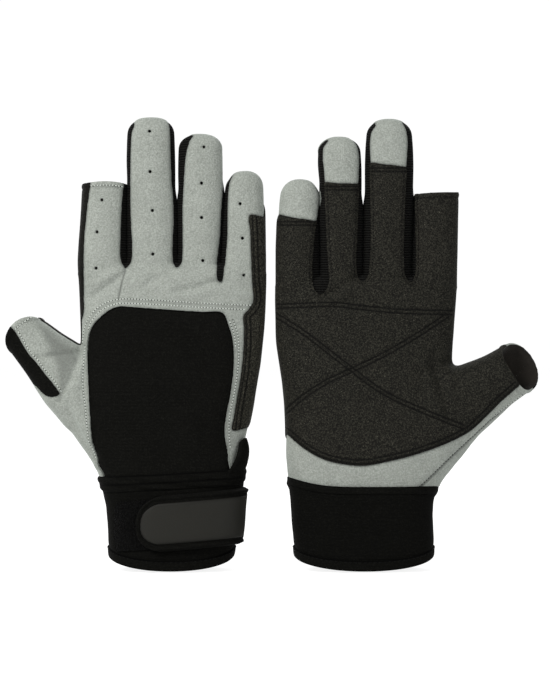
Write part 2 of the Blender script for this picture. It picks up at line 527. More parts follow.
class Skin:
    """Labelled triangles that can be cut and refined."""

    def __init__(self, field, low, high):
        self.points, self.tris = surface_nets(field, low, high)
        self.labels = np.zeros(len(self.tris), int)

    def split(self, phi, only=SUEDE, snap=0.14):
        """Splits the triangles labelled `only` along phi = 0; returns the negative side's mask."""
        phi = np.where(np.abs(phi) < snap, 0.0, phi)
        sign = np.sign(phi)
        above, below = (sign[self.tris] > 0).any(1), (sign[self.tris] < 0).any(1)
        cross = above & below & (self.labels == only)
        new_points, cuts, tris, negative = [], {}, [], []
        for tri in self.tris[cross]:
            up, down = [], []
            for i in range(3):
                u, v = int(tri[i]), int(tri[(i + 1) % 3])
                if sign[u] >= 0:
                    up.append(u)
                if sign[u] <= 0:
                    down.append(u)
                if sign[u] * sign[v] < 0:
                    a, b = min(u, v), max(u, v)
                    if (a, b) not in cuts:
                        cuts[a, b] = len(self.points) + len(new_points)
                        t = phi[a] / (phi[a] - phi[b])
                        new_points.append(
                            self.points[a] + (self.points[b] - self.points[a]) * t)
                    up.append(cuts[a, b])
                    down.append(cuts[a, b])
            for loop, is_down in ((up, False), (down, True)):
                for i in range(1, len(loop) - 1):
                    tris.append((loop[0], loop[i], loop[i + 1]))
                    negative.append(is_down)
        if not new_points:
            return ~above
        self.points = np.vstack([self.points, np.array(new_points)])
        self.tris = np.vstack([self.tris[~cross], np.array(tris)])
        self.labels = np.concatenate([self.labels[~cross], np.full(len(tris), only)])
        return np.concatenate([~above[~cross], np.array(negative)])

    def keep(self, mask):
        self.labels = self.labels[mask]
        self.points, self.tris = compact(self.points, self.tris[mask])

    def trim(self, phi):
        self.keep(self.split(phi))

    def mark(self, phi, label, only=SUEDE):
        negative = self.split(phi, only)
        self.labels = np.where((self.labels == only) & negative, label, self.labels)

    def refine(self, near, longest):
        """Twice splits the edges longer than `longest` whose middle is near."""
        for _ in range(2):
            T = self.tris
            edges = np.sort(np.concatenate([T[:, [0, 1]], T[:, [1, 2]], T[:, [2, 0]]]), 1)
            edges = np.unique(edges, axis=0)
            ends = self.points[edges[:, 0]], self.points[edges[:, 1]]
            middle = (ends[0] + ends[1]) / 2
            pick = near(middle) & (np.linalg.norm(ends[0] - ends[1], axis=1) > longest)
            edges, middle = edges[pick], middle[pick]
            if not len(edges):
                break
            first = len(self.points)  # index of the first new point
            index = {(int(a), int(b)): first + k for k, (a, b) in enumerate(edges)}
            self.points = np.vstack([self.points, middle])
            touched = np.zeros(len(self.points), bool)
            touched[edges.ravel()] = True
            keep = np.ones(len(T), bool)
            tris, labels = [], []
            for row in np.where(touched[T].sum(1) >= 2)[0]:
                a, b, c = (int(v) for v in T[row])
                loop = []
                for u, v in ((a, b), (b, c), (c, a)):
                    loop.append(u)
                    if (min(u, v), max(u, v)) in index:
                        loop.append(index[min(u, v), max(u, v)])
                size = len(loop)
                if size == 3:
                    continue
                keep[row] = False
                if size == 6:
                    fan = [(0, 1, 5), (1, 2, 3), (3, 4, 5), (1, 3, 5)]
                    turn = 0
                elif size == 5:  # start at the corner between the two new points
                    fan = [(0, 1, 4), (1, 2, 4), (2, 3, 4)]
                    turn = next(i for i in range(5) if loop[i] < first
                                and loop[i - 1] >= first and loop[(i + 1) % 5] >= first)
                else:  # start at the new point
                    fan = [(0, 1, 2), (0, 2, 3)]
                    turn = next(i for i in range(4) if loop[i] >= first)
                tris += [tuple(loop[(turn + i) % size] for i in corner) for corner in fan]
                labels += [self.labels[row]] * len(fan)
            self.tris = np.vstack([T[keep], np.array(tris)])
            self.labels = np.concatenate([self.labels[keep],
                                          np.array(labels, self.labels.dtype)])


def in_large_parts(tris, count, smallest=12):
    """Mask of the triangles in connected parts of at least `smallest` triangles."""
    parent = np.arange(count)

    def root(a):
        while parent[a] != a:
            parent[a] = parent[parent[a]]
            a = parent[a]
        return a

    for a, b, c in tris:
        root_a, root_b, root_c = root(a), root(b), root(c)
        parent[root_b] = root_a
        parent[root(root_c)] = root_a
    roots = np.array([root(a) for a in tris[:, 0]])
    _, part, sizes = np.unique(roots, return_inverse=True, return_counts=True)
    return sizes[part] >= smallest


# ---- the two gloves --------------------------------------------------------------------
class Glove:
    """Level-surface fields are positive inside the glove; distances to panels negative inside."""

    def __init__(self, key):
        spec = SPEC[key]
        self.key, self.spec, self.prefix = key, spec, f"glove_{key}_"
        self.top, self.root = spec["landmarks"][1], spec["landmarks"][3]
        self.finger_start = self.root - 8.0  # where the finger pieces begin
        self.hand_tube = smooth_columns(spec["hand"], 3.0)
        self.finger_tubes = {f: smooth_columns(t, 2.5) for f, t in spec["fingers"].items()}
        self.close_gaps()
        self.straight = smooth_columns(spec["straight"], 3.0)[0]
        self.cuff_tube = smooth_columns(spec["cuff"], 1.5)
        thumb = spec["thumb"]
        self.thumb_cut = thumb["cut"]
        self.thumb_base = np.array(thumb["base"], float)
        self.thumb_along = np.array(thumb["along"], float) / np.linalg.norm(thumb["along"])
        # across the thumb, towards the index finger
        self.thumb_across = np.array([self.thumb_along[1], -self.thumb_along[0]])
        self.thumb_tube = smooth_columns(thumb["width"], 2.5)
        self.matrix = (Matrix.Translation((spec["place"], 0, 0))
                       @ Matrix.Rotation(spec["turn"], 4, "Z") @ Matrix.Scale(0.001, 4))

    def close_gaps(self):
        """Lets the knitted sides of neighbouring fingers bulge until they almost touch."""
        for a, b, touch in zip(FINGERS, FINGERS[1:], self.spec["touch"]):
            low_a, high_a, depth_a = self.finger_tubes[a]
            low_b, high_b, depth_b = self.finger_tubes[b]
            middle = (low_b + high_a) / 2
            bulge = smooth((4.6 - (low_b - high_a)) / 1.2) * smooth((touch + 4 - HEIGHTS) / 9.0)
            self.finger_tubes[a] = (low_a, high_a + bulge * (middle + 0.56 - high_a), depth_a)
            self.finger_tubes[b] = (low_b + bulge * (middle - 0.56 - low_b), high_b, depth_b)

    # -- level-surface fields
    def hand(self, x, y, z):
        low, high, depth = (at(c, z) for c in self.hand_tube)
        cap = np.clip((z - (self.root + HAND_TOP - 8.0)) / 8.0, 0, None)
        depth = depth * np.where(y > 0, 0.94, 1.0)  # the palm is a little flatter than the back
        return section(x - (low + high) / 2, y, (high - low) / 2, depth, HAND_POWER, cap, 8.0)

    def finger(self, name, x, y, z):
        low, high, depth = (at(c, z) for c in self.finger_tubes[name])
        cap, height = 0.0, 1.0
        if name != "index":
            height = TIP_CAP[name]
            cap = np.clip((z - (self.spec["ends"][name] - height)) / height, 0, None)
        inside = section(x - (low + high) / 2, y, (high - low) / 2, depth, FINGER_POWER, cap,
                         height)
        return inside - 12 * smooth((self.root - 3.5 - z) / 10.0)

    def thumb_axes(self, x, z):
        """Distance along the thumb from its base, and across it."""
        dx, dz = x - self.thumb_base[0], z - self.thumb_base[1]
        return (dx * self.thumb_along[0] + dz * self.thumb_along[1],
                dx * self.thumb_across[0] + dz * self.thumb_across[1])

    def thumb(self, x, y, z):
        along, across = self.thumb_axes(x, z)
        width, depth = (at(c, along) for c in self.thumb_tube)
        cap = np.clip((-along - 14.0) / 18.0, 0, None)
        return section(across, y, width, depth, FINGER_POWER, cap, 18.0)

    def fingers(self, x, y, z, name=None):
        """Hand with finger stumps, and `name` in full."""
        joined = None
        for other in FINGERS:
            inside = self.finger(other, x, y, z)
            if other != name:
                inside = inside - 14 * smooth((z - self.root - 0.5) / 5.0)
            joined = inside if joined is None else smooth_max(joined, inside, 2.2)
        return smooth_max(self.hand(x, y, z), joined, 1.0)

    def body(self, x, y, z):
        return smooth_max(self.fingers(x, y, z), self.thumb(x, y, z), self.spec["thumb_blend"])

    def field(self, piece):
        if piece in ("hand", "thumb"):
            return self.body
        return lambda x, y, z: self.fingers(x, y, z, piece)

    # -- finger limits and openings
    def limits(self, name):
        edges = (-np.inf, *self.spec["between"], np.inf)
        k = FINGERS.index(name)
        return edges[k], edges[k + 1]

    def piece_at(self, x, z):
        """The finger above the cut line that (x, z) belongs to, or the hand."""
        if z < self.finger_start:
            return "hand"
        for name in FINGERS:
            if z < self.root + 3:
                low, high = self.limits(name)
                if low <= x < high:
                    return name
            else:
                low, high = (at(c, z) for c in self.finger_tubes[name][:2])
                if low - 0.6 <= x <= high + 0.6:
                    return name
        return "hand"

    def thumb_opening(self, points):
        """Negative on the part of the thumb that is kept."""
        along, across = self.thumb_axes(points[:, 0], points[:, 2])
        thumb = self.spec["thumb"]
        arch = 1 - np.clip(across / at(self.thumb_tube[0], along), -1, 1) ** 2
        return along - (thumb["cut"] + thumb["bulge"] * arch - thumb["lean"] * points[:, 1])

    def index_opening(self, points):
        """Negative on the part of the index finger that is kept."""
        x, y, z = points.T
        low, high = (at(c, z) for c in self.finger_tubes["index"][:2])
        t = np.clip((x - (low + high) / 2) / ((high - low) / 2), -1, 1)
        return z - (self.spec["ends"]["index"] + self.index_rim(t) - 0.02 * y)

    def index_rim(self, t):
        bow, tilt = self.spec["index_rim"]
        return bow * (0.5 - t**2) - tilt * t

    def anchors(self, z):
        """x of the eight finger edges, carried down through the hand below the roots."""
        edges = [self.finger_tubes[f][k] for f in FINGERS for k in (0, 1)]
        low, high = at(self.straight, z), at(self.hand_tube[1], z)
        at_root = [at(e, self.root) for e in edges]
        left, right = at_root[0], at_root[-1]
        out = []
        for edge, x in zip(edges, at_root):
            below = low + (x - left) / (right - left) * (high - low)
            out.append(np.where(z >= self.root, at(edge, np.maximum(z, self.root)), below))
        return np.stack(out, 1)

    # -- lines and outlines
    def line(self, home, points):
        """A line drawn on the glove `home`, smoothed and carried to this one."""
        return warp(smooth_line(points), home, self)

    def outline(self, home, points):
        return self.line(home, [*points, points[0]])[:-1]

    def draw(self):
        back, palm = GLOVES["a"], GLOVES["b"]  # the gloves that the outlines are drawn on
        self.back_panel = self.outline(back, BACK_PANEL)
        self.back_slots = [self.outline(back, slot) for slot in BACK_SLOTS]
        self.index_edge = self.outline(back, INDEX_EDGE)
        self.wrap = self.outline(back, WRAP)
        self.insert = self.outline(back, THUMB_INSERT)
        self.shade = self.outline(back, THUMB_SHADE)
        self.overlay = self.outline(palm, OVERLAY)
        self.palm_slots = [self.outline(palm, slot) for slot in PALM_SLOTS]
        knuckle = np.vstack([smooth_line(BACK_LINES["knuckle"]), KNUCKLE_FRAME])
        self.knuckle = warp(knuckle, back, self)
        self.holes = warp(PERFORATIONS, back, self)
        self.back_lines = {k: self.line(back, v) for k, v in BACK_LINES.items()}
        self.palm_lines = {k: self.line(palm, v) for k, v in PALM_LINES.items()}
        self.wrap_rows = [self.inset(self.line(back, WRAP[2:15]), -1, by) for by in (1.2, 3.3)]
        self.hem_rows = [self.inset(self.line(palm, OVERLAY[2:15]), 1, by) for by in (1.0, 3.0)]
        self.top_rows = [
            self.line(palm, [(x0, z - drop), ((x0 + x1) / 2, z - drop - TOP_ROW_SAG),
                             (x1, z - drop)])
            for x0, x1, z in TOP_EDGES for drop in TOP_ROW_DROPS]
        # line, depth, width, pucker height, pucker reach, pucker period; by side
        self.features = {-1: [], 1: []}
        for name, depth in BACK_GROOVES:
            self.add_feature(-1, self.back_lines[name], depth)
        for name, *shape in BACK_FOLDS:
            self.add_feature(-1, self.back_lines[name], *shape)
        for name in CROSSING:
            for by in (-DOUBLE_ROW, DOUBLE_ROW):
                self.add_feature(1, offset_line(self.palm_lines[name], by), -0.34)
        self.add_feature(1, self.palm_lines["thumb_seam"], -0.50)
        for name, *shape in PALM_FOLDS:
            self.add_feature(1, self.palm_lines[name], *shape)
        for line in self.wrap_rows:
            self.add_feature(-1, line, -0.30)
        for line in self.hem_rows + self.top_rows:
            self.add_feature(1, line, -0.30)

    def add_feature(self, side, line, depth, width=GROOVE_WIDTH, pucker=0.0, reach=3.0,
                    period=6.5):
        self.features[side].append((line, depth, width, pucker, reach, period))

    def inset(self, line, side, by):
        """The line moved by `by` into the reinforcement."""
        k = len(line) // 2
        for sign in (1, -1):
            moved = offset_line(line, by * sign)
            if self.grip_distance(np.array([[moved[k, 0], side * 5.0, moved[k, 1]]]))[0] < 0:
                return moved
        return offset_line(line, by)

    def near_grooves(self, points):
        hit = np.zeros(len(points), bool)
        for side in (-1, 1):
            on = np.where(points[:, 1] * side > 0.6)[0]
            xz = points[on][:, ::2]
            for line, _, width, *_ in self.features[side]:
                if width != GROOVE_WIDTH:
                    continue
                box = ((xz > line.min(0) - 1.7) & (xz < line.max(0) + 1.7)).all(1)
                hit[on[box]] |= near_line(xz[box], line)[0] < 1.6
        return hit

    def hole_distance(self, points):
        return np.sqrt(((points[:, None, ::2] - self.holes) ** 2).sum(2)).min(1)

    # -- signed distances to the panels
    def knit_distance(self, points):
        back, palm = (np.minimum.reduce([outline_distance(points, slot) for slot in slots])
                      for slots in (self.back_slots, self.palm_slots))
        on_palm = smooth((points[:, 1] + 4.0) / 8.0)
        return back * (1 - on_palm) + palm * on_palm

    def grip_distance(self, points):
        x, y = points[:, 0], points[:, 1]
        palm = outline_distance(points, self.overlay)
        strip = outline_distance(points, self.wrap)
        wrap = np.minimum(strip, outline_distance(points, self.index_edge))
        on_palm = smooth((y + 3.5) / 7.0)
        elsewhere = np.minimum(np.maximum(palm, -0.6 - y), np.maximum(wrap, y - 1.0))
        # the strip and the palm run into each other on the little-finger side
        return np.where(x > 34.98, strip * (1 - on_palm) + palm * on_palm, elsewhere)

    def back_distance(self, points):
        return np.maximum(outline_distance(points, self.back_panel), points[:, 1] + 1.0)

    def insert_distance(self, points):
        depth = points[:, 1] - self.spec["insert_depth"]
        return np.maximum(outline_distance(points, self.insert), depth)


def warp(points, source, target):
    """Carries (x, z) points from one glove to the matching places of the other."""
    points = np.array(points, float)
    if source is target:
        return points
    marks, new_marks = (np.array(g.spec["landmarks"]) for g in (source, target))
    height = points[:, 1]
    z = np.where(height > marks[-1], height - marks[-1] + new_marks[-1],
                 np.interp(height, marks, new_marks))
    x = np.empty(len(points))
    anchors = zip(source.anchors(height), target.anchors(z))
    for i, (a, b) in enumerate(anchors):
        old = points[i, 0]
        if old <= a[0]:
            x[i] = b[0] + (old - a[0])
        elif old >= a[-1]:
            x[i] = b[-1] + (old - a[-1])
        else:
            x[i] = np.interp(old, a, b)
    flat = np.stack([x, z], 1)
    along, across = source.thumb_axes(points[:, 0], height)
    width = at(source.thumb_tube[0], along)
    new_along = np.where(along > 0, along * target.thumb_cut / source.thumb_cut, along)
    new_across = across * at(target.thumb_tube[0], new_along) / width
    thumb = (target.thumb_base + new_along[:, None] * target.thumb_along
             + new_across[:, None] * target.thumb_across)
    on_thumb = (smooth((along + 4) / 14.0) * (np.abs(across) < 3.0 * width)
                * (height < source.spec["landmarks"][2] + 45))[:, None]
    return flat * (1 - on_thumb) + thumb * on_thumb


GLOVES = {"a": Glove("a"), "b": Glove("b")}
for glove in GLOVES.values():
    glove.draw()


# ---- relief of the finished surface ----------------------------------------------------
def seam_relief(glove, points):
    """Height and darkness that the drawn seams and folds give each point."""
    out, mark = np.zeros(len(points)), np.zeros(len(points))
    for side in (-1, 1):
        on = np.where(points[:, 1] * side > 0.6)[0]
        xz = points[on][:, ::2]
        fade = smooth((points[on, 1] * side - 0.6) / 2.0)
        for line, depth, width, pucker, reach, period in glove.features[side]:
            distance, along = near_line(xz, line)
            relief = depth * bell(distance, width)
            if pucker:
                wave = np.sin(2 * math.pi * along / period + 2.0 * np.sin(along / 9.0))
                relief = relief + (pucker * np.exp(-distance / reach) * wave
                                   * smooth(distance / 1.2))
            out[on] += relief * fade
            if width == GROOVE_WIDTH:
                dark = bell(distance, 0.5) * fade * min(1.0, abs(depth) / 0.32)
                mark[on] = np.maximum(mark[on], dark)
    return out, mark


def displacement(glove, points, label, piece):
    """How far the finished surface stands off the level surface, and how dark its seams are."""
    x, y, z = points.T
    out, mark = seam_relief(glove, points)
    knit, grip = glove.knit_distance(points), glove.grip_distance(points)
    out = out + 0.22 * ripple(points, 1, 2, glove.spec["skin_seed"])
    if label in (SUEDE, KNUCKLE):
        back = glove.back_distance(points)
        out = out + 0.14 * ripple(points * 1.3, 2, 3, 2.0)
        # edges dip at the knit and grip, and rise round the back panel
        out = out - 0.38 * bell(knit, 0.9) - 0.12 * bell(grip, 0.8)
        out = out + 0.38 * bell(back - 1.0, 1.9) * (y < 0)
        if piece in ("hand", "thumb"):
            insert = glove.insert_distance(points)
            shade = (smooth((1.5 - outline_distance(points, glove.shade)) / 5.0)
                     * smooth((-1.0 - y) / 3.0))
            out = out - 0.3 * bell(insert, 0.9) - 0.5 * shade
            mark = np.maximum.reduce([mark, 0.8 * bell(insert, 0.6), 0.75 * shade])
        mark = np.maximum.reduce([mark, 0.9 * bell(knit, 0.7), 0.9 * bell(grip, 0.6),
                                  0.7 * bell(back, 0.7)])
    elif label == GRIP:  # raised, with an edge that falls off
        out = out * 0.8 + 0.42 + 0.42 * (1 - bell(grip, 0.8)) - 0.35 * bell(knit, 0.8)
        mark = np.maximum(mark, 0.7 * bell(grip, 0.7))
        if piece in ("hand", "index"):
            mark = np.maximum(mark, 0.85 * smooth((0.5 - y) / 4.0) * (x < -20))
    elif label == NEO:  # sunk at its edge, padded towards the middle
        back = glove.back_distance(points)
        out = out * 0.7 - 0.75 + 1.15 * (1 - np.exp(-(np.abs(back) / 3.2)))
        mark = mark * 0
    else:  # knit and insert are sunk, but level where two fingers meet
        out = out * 0.35 - 0.45 + (0.2 if label == INSERT else 0.0)
        for middle in glove.spec["between"]:
            out = out * (1 - bell(x - middle, 0.9) * smooth((glove.root + 7.0 - z) / 1.5))
        mark = mark * 0

    # hem at an opening: piece, distance from the opening, hem width
    for name, opening, hem in (("index", glove.index_opening, 2.6),
                               ("thumb", glove.thumb_opening, 2.8)):
        if piece == name:
            inside = -opening(points)
            row = bell(inside - hem - 0.3, 0.5)
            out = (out + 0.34 * smooth((hem - inside) / 0.9) - 0.4 * bell(inside, 0.6)
                   - 0.15 * row)
            mark = np.maximum(mark, 0.3 * row)
    if label in (SUEDE, KNUCKLE):  # the perforations' edges
        rim = np.where(y < 0, glove.hole_distance(points), 99.0) - 0.7
        out = out - 0.26 * bell(rim, 0.8)
        mark = np.maximum(mark, 0.45 * bell(rim, 0.5))
    return np.maximum(out, -1.7), mark


# ---- materials -------------------------------------------------------------------------
class Shader:
    """Builds one material's nodes. Colours are linear RGB."""

    def __init__(self, name):
        self.material = bpy.data.materials.new(name)
        self.material.use_nodes = True
        self.tree = self.material.node_tree
        self.coords = self.node("ShaderNodeTexCoord").outputs["Object"]

    def put(self, value, socket):
        if hasattr(value, "links"):
            self.tree.links.new(value, socket)
        else:
            socket.default_value = (*value, 1) if isinstance(value, tuple) else value

    def node(self, kind, inputs=None, **settings):
        made = self.tree.nodes.new(kind)
        for key, value in settings.items():
            setattr(made, key, value)
        for key, value in (inputs or {}).items():
            self.put(value, made.inputs[key])
        return made

    def noise(self, scale, detail, roughness, vector=None, distortion=0.0):
        inputs = {"Vector": vector or self.coords, "Scale": scale, "Detail": detail,
                  "Roughness": roughness, "Distortion": distortion}
        return self.node("ShaderNodeTexNoise", inputs).outputs["Fac"]

    def noises(self, *settings):
        """Noise patterns from (scale, detail, roughness) settings."""
        return [self.noise(*setting) for setting in settings]

    def cell_distance(self, scale):
        inputs = {"Vector": self.coords, "Scale": scale}
        return self.node("ShaderNodeTexVoronoi", inputs).outputs["Distance"]

    def stretched(self, scale):
        made = self.node("ShaderNodeMapping", {"Vector": self.coords})
        made.inputs["Scale"].default_value = scale
        return made.outputs["Vector"]

    def axes(self):
        return self.node("ShaderNodeSeparateXYZ", {0: self.coords}).outputs

    def math(self, operation, a, b=0.0):
        return self.node("ShaderNodeMath", {0: a, 1: b, 2: 0.0}, operation=operation).outputs[0]

    def weighted(self, first, *rest):
        """Sum of (pattern, weight) pairs."""
        term = self.math("MULTIPLY", *first)
        return self.math("ADD", term, self.weighted(*rest)) if rest else term

    def span(self, pattern, start, end, low=0, high=1.0):
        """The pattern's range start..end mapped to low..high."""
        inputs = {"Value": pattern, "From Min": start, "From Max": end, "To Min": low,
                  "To Max": high}
        return self.node("ShaderNodeMapRange", inputs).outputs["Result"]

    def mix(self, amount, under, over, blend="MIX"):
        return self.node("ShaderNodeMix", {0: amount, 6: under, 7: over}, data_type="RGBA",
                         blend_type=blend).outputs[2]

    def coat(self, colour, *layers):
        """Lays (pattern, start, end, strength, tint) layers over a colour."""
        for pattern, start, end, strength, tint in layers:
            colour = self.mix(self.span(pattern, start, end, 0, strength), colour, tint)
        return colour

    def attribute(self, name, strength):
        made = self.node("ShaderNodeAttribute", attribute_name=name)
        return self.math("MULTIPLY", made.outputs["Fac"], strength)

    def seams(self, colour, strength, dark):
        return self.mix(self.attribute("seam", strength), colour, dark)

    def bump(self, height, distance, strength):
        inputs = {"Strength": strength, "Distance": distance, "Height": height}
        return self.node("ShaderNodeBump", inputs).outputs["Normal"]

    def finish(self, colour, normal, rough, sheen, sheen_rough, spec, sheen_tint=(1, 1, 1)):
        inputs = {"Base Color": colour, "Roughness": rough, "Normal": normal,
                  "Specular IOR Level": spec, "Sheen Weight": sheen,
                  "Sheen Roughness": sheen_rough, "Sheen Tint": sheen_tint, "Metallic": 0.0}
        for key, value in inputs.items():
            self.put(value, self.tree.nodes["Principled BSDF"].inputs[key])
        return self.material


def tint(colour, factor):
    return tuple(factor * v for v in colour)


def suede():
    base, light, dark = (0.290, 0.308, 0.281), (0.340, 0.360, 0.330), (0.150, 0.162, 0.142)
    s = Shader("suede_grey")
    grain, fine, mid, wide = s.noises((1250, 2, 0.62), (2600, 2, 0.6), (520, 3, 0.6),
                                      (90, 4, 0.55))
    nap = s.noise(scale=55, detail=2, roughness=0.5, vector=s.stretched((1.0, 1.0, 0.35)),
                  distortion=0.6)
    colour = s.coat(base, (wide, 0.30, 0.72, 1.0, light), (nap, 0.42, 0.72, 0.35, light),
                    (grain, 0.42, 0.66, 0.50, dark), (fine, 0.52, 0.74, 0.35, dark),
                    (grain, 0.46, 0.28, 0.35, tint(light, 1.22)), (mid, 0.54, 0.78, 0.30, dark))
    colour = s.seams(colour, strength=0.72, dark=tint(base, 0.30))
    height = s.weighted((grain, 0.8), (fine, 0.4), (mid, 0.8))
    return s.finish(colour, s.bump(height, distance=0.00045, strength=0.9), rough=0.95,
                    sheen=0.22, sheen_rough=0.45, spec=0.15, sheen_tint=(0.9, 1.0, 0.95))


def knit():
    base, dark = (0.0098, 0.0098, 0.0088), (0.0012, 0.0012, 0.0011)
    row_pitch, wale_pitch = 0.0013, 0.0010  # metres
    s = Shader("ribbed_knit_black")
    x, y, z = s.axes()
    wobble = s.noise(scale=240, detail=2, roughness=0.5)
    rows = s.math("SINE", s.weighted((z, 2 * math.pi / row_pitch), (wobble, 2.2)))
    across = s.math("ADD", y, s.math("MULTIPLY", x, 0.6))
    wales = s.math("SINE", s.math("MULTIPLY", across, 2 * math.pi / wale_pitch))
    ribs = s.weighted((rows, 0.5), (wales, 0.22))
    fine = s.noise(scale=2000, detail=2, roughness=0.6)
    colour = s.coat(dark, (rows, -0.5, 1.0, 1.0, base), (fine, 0.52, 0.8, 0.5, tint(base, 2.2)))
    height = s.math("ADD", ribs, s.weighted((fine, 0.3)))
    return s.finish(colour, s.bump(height, distance=0.00030, strength=0.9), rough=0.95,
                    sheen=0.02, sheen_rough=0.4, spec=0.04)


def grip():
    base, light, dark = (0.0046, 0.0045, 0.0032), (0.040, 0.038, 0.029), (0.0010, 0.0010, 0.0008)
    s = Shader("grip_overlay_charcoal")
    pebble = s.cell_distance(scale=1300.0)
    grain, fine, mid, wide, glint = s.noises((1350, 2, 0.65), (2600, 2, 0.6), (560, 3, 0.6),
                                             (70, 3, 0.5), (1700, 1, 0.5))
    colour = s.coat(base, (wide, 0.3, 0.7, 1.0, tint(base, 1.25)),
                    (grain, 0.46, 0.72, 0.85, light), (grain, 0.48, 0.30, 0.75, dark),
                    (fine, 0.56, 0.74, 0.55, light), (mid, 0.54, 0.74, 0.40, dark),
                    (glint, 0.70, 0.78, 0.9, tint(light, 2.6)))
    colour = s.mix(s.attribute("pale", 0.9), colour, colour, blend="ADD")
    colour = s.seams(colour, strength=0.85, dark=tint(dark, 0.35))
    height = s.weighted((pebble, 0.5), (grain, 0.8))
    return s.finish(colour, s.bump(height, distance=0.00035, strength=0.9),
                    rough=s.span(fine, 0.3, 0.7, low=0.88, high=0.70), sheen=0.02,
                    sheen_rough=0.4, spec=0.12, sheen_tint=(1, 0.96, 0.9))


def neoprene(name, tone):
    base = (0.0027, 0.0027, 0.0023)
    pitch, slant = 0.0011, 0.30  # of the two crossing sets of ribs; metres, x per z
    s = Shader(name)
    x, _, z = s.axes()
    ribs = [
        s.math("SINE", s.math("MULTIPLY", s.math(way, x, s.math("MULTIPLY", z, slant)),
                              2 * math.pi / pitch))
        for way in ("ADD", "SUBTRACT")]
    weave = s.math("MULTIPLY", *ribs)
    grain, fine, wide = s.noises((1300, 2, 0.6), (2600, 2, 0.6), (60, 3, 0.5))
    colour = s.coat(tint(base, tone), (wide, 0.3, 0.7, 1.0, tint(base, 1.25 * tone)),
                    (weave, 0.1, 0.9, 0.35, tint(base, 1.8 * tone)),
                    (grain, 0.50, 0.70, 0.7, tint(base, 3.2 * tone)),
                    (fine, 0.56, 0.74, 0.65, tint(base, 5.5 * tone)))
    colour = s.seams(colour, strength=0.85, dark=(0.0004, 0.0004, 0.0004))
    height = s.weighted((weave, 0.35), (grain, 0.4))
    return s.finish(colour, s.bump(height, distance=0.00020, strength=0.7), rough=0.92,
                    sheen=0.02, sheen_rough=0.35, spec=0.04)


def rubber():
    base = (0.0112, 0.0108, 0.0084)
    s = Shader("moulded_rubber_dark")
    fine, wide = s.noises((1300, 3, 0.6), (50, 3, 0.5))
    colour = s.coat(base, (wide, 0.3, 0.7, 1.0, tint(base, 1.18)),
                    (fine, 0.5, 0.75, 0.25, tint(base, 1.4)))
    colour = s.seams(colour, strength=0.75, dark=tint(base, 0.45))
    return s.finish(colour, s.bump(fine, distance=0.00010, strength=0.6),
                    rough=s.span(wide, 0.3, 0.7, low=0.55, high=0.66), sheen=0.0,
                    sheen_rough=0.5, spec=0.20)


def thread(name, base, second, shine=0.04):
    s = Shader(name)
    fine = s.noise(scale=3000, detail=2, roughness=0.6)
    colour = s.coat(base, (fine, 0.35, 0.75, 1.0, second))
    return s.finish(colour, s.bump(fine, distance=0.0001, strength=0.6), rough=0.7,
                    sheen=0.3 * shine, sheen_rough=0.4, spec=shine)


def lining():
    s = Shader("inner_lining")
    fine, wide = s.noises((2000, 2, 0.6), (120, 3, 0.5))
    colour = s.coat((0.010, 0.0085, 0.0068), (wide, 0.3, 0.7, 1.0, (0.018, 0.015, 0.012)),
                    (fine, 0.5, 0.8, 0.5, (0.032, 0.027, 0.022)))
    return s.finish(colour, s.bump(fine, distance=0.0003, strength=0.8), rough=0.95, sheen=0.2,
                    sheen_rough=0.4, spec=0.2)


def fuzz(name, base, tip, scale):
    s = Shader(name)
    cells = s.cell_distance(scale)
    fine = s.noise(scale=scale * 1.6, detail=3, roughness=0.7)
    colour = s.coat(tip, (cells, 0.1, 0.6, 1.0, base))
    normal = s.bump(s.math("SUBTRACT", fine, cells), distance=0.0006, strength=1.0)
    return s.finish(colour, normal, rough=0.9, sheen=0.02, sheen_rough=0.4, spec=0.04)


MATERIALS = {
    "suede": suede(),
    "knit": knit(),
    "grip": grip(),
    "neoprene": neoprene("neoprene_jersey_black", tone=1.0),
    "cuff": neoprene("neoprene_cuff_black", tone=0.75),
    "binding": neoprene("binding_black", tone=0.9),
    "rubber": rubber(),
    "light": thread("thread_pale", (0.66, 0.70, 0.65), (0.48, 0.51, 0.47), shine=0.3),
    "dark": thread("thread_black", (0.0030, 0.0030, 0.0028), (0.008, 0.008, 0.0075)),
    "hole": thread("needle_hole", (0.006, 0.0065, 0.006), (0.013, 0.014, 0.013)),
    "lining": lining(),
    "hook": fuzz("hook_tape", (0.0035, 0.0035, 0.0032), (0.012, 0.012, 0.011), scale=1300),
    "loop": fuzz("loop_tape", (0.0018, 0.0018, 0.0017), (0.0055, 0.0055, 0.0052), scale=1000),
    "foam": fuzz("palm_padding", (0.42, 0.40, 0.34), (0.55, 0.53, 0.46), scale=700),
}


# ---- Blender objects -------------------------------------------------------------------
def add_attribute(mesh, name, values):
    layer = mesh.attributes.new(name, "FLOAT", "POINT")
    layer.data.foreach_set("value", np.asarray(values, np.float32))


def make_object(glove, name, points, faces, materials, face_material=None, mark=None, sharp=45):
    """An object in world metres from points in the glove's frame."""
    matrix = np.array(glove.matrix)
    points = np.asarray(points) @ matrix[:3, :3].T + matrix[:3, 3]
    name = glove.prefix + name
    mesh = bpy.data.meshes.new(name)
    mesh.from_pydata([tuple(p) for p in points], [], [tuple(int(i) for i in f) for f in faces])
    for material in materials:
        mesh.materials.append(MATERIALS[material])
    if face_material is not None:
        mesh.polygons.foreach_set("material_index", np.asarray(face_material, np.int32))
    if mark is not None:
        add_attribute(mesh, "seam", mark)
    mesh.validate()
    mesh.update()
    mesh.shade_smooth()
    mesh.set_sharp_from_angle(angle=math.radians(sharp))
    made = bpy.data.objects.new(name, mesh)
    bpy.context.scene.collection.objects.link(made)
    return made


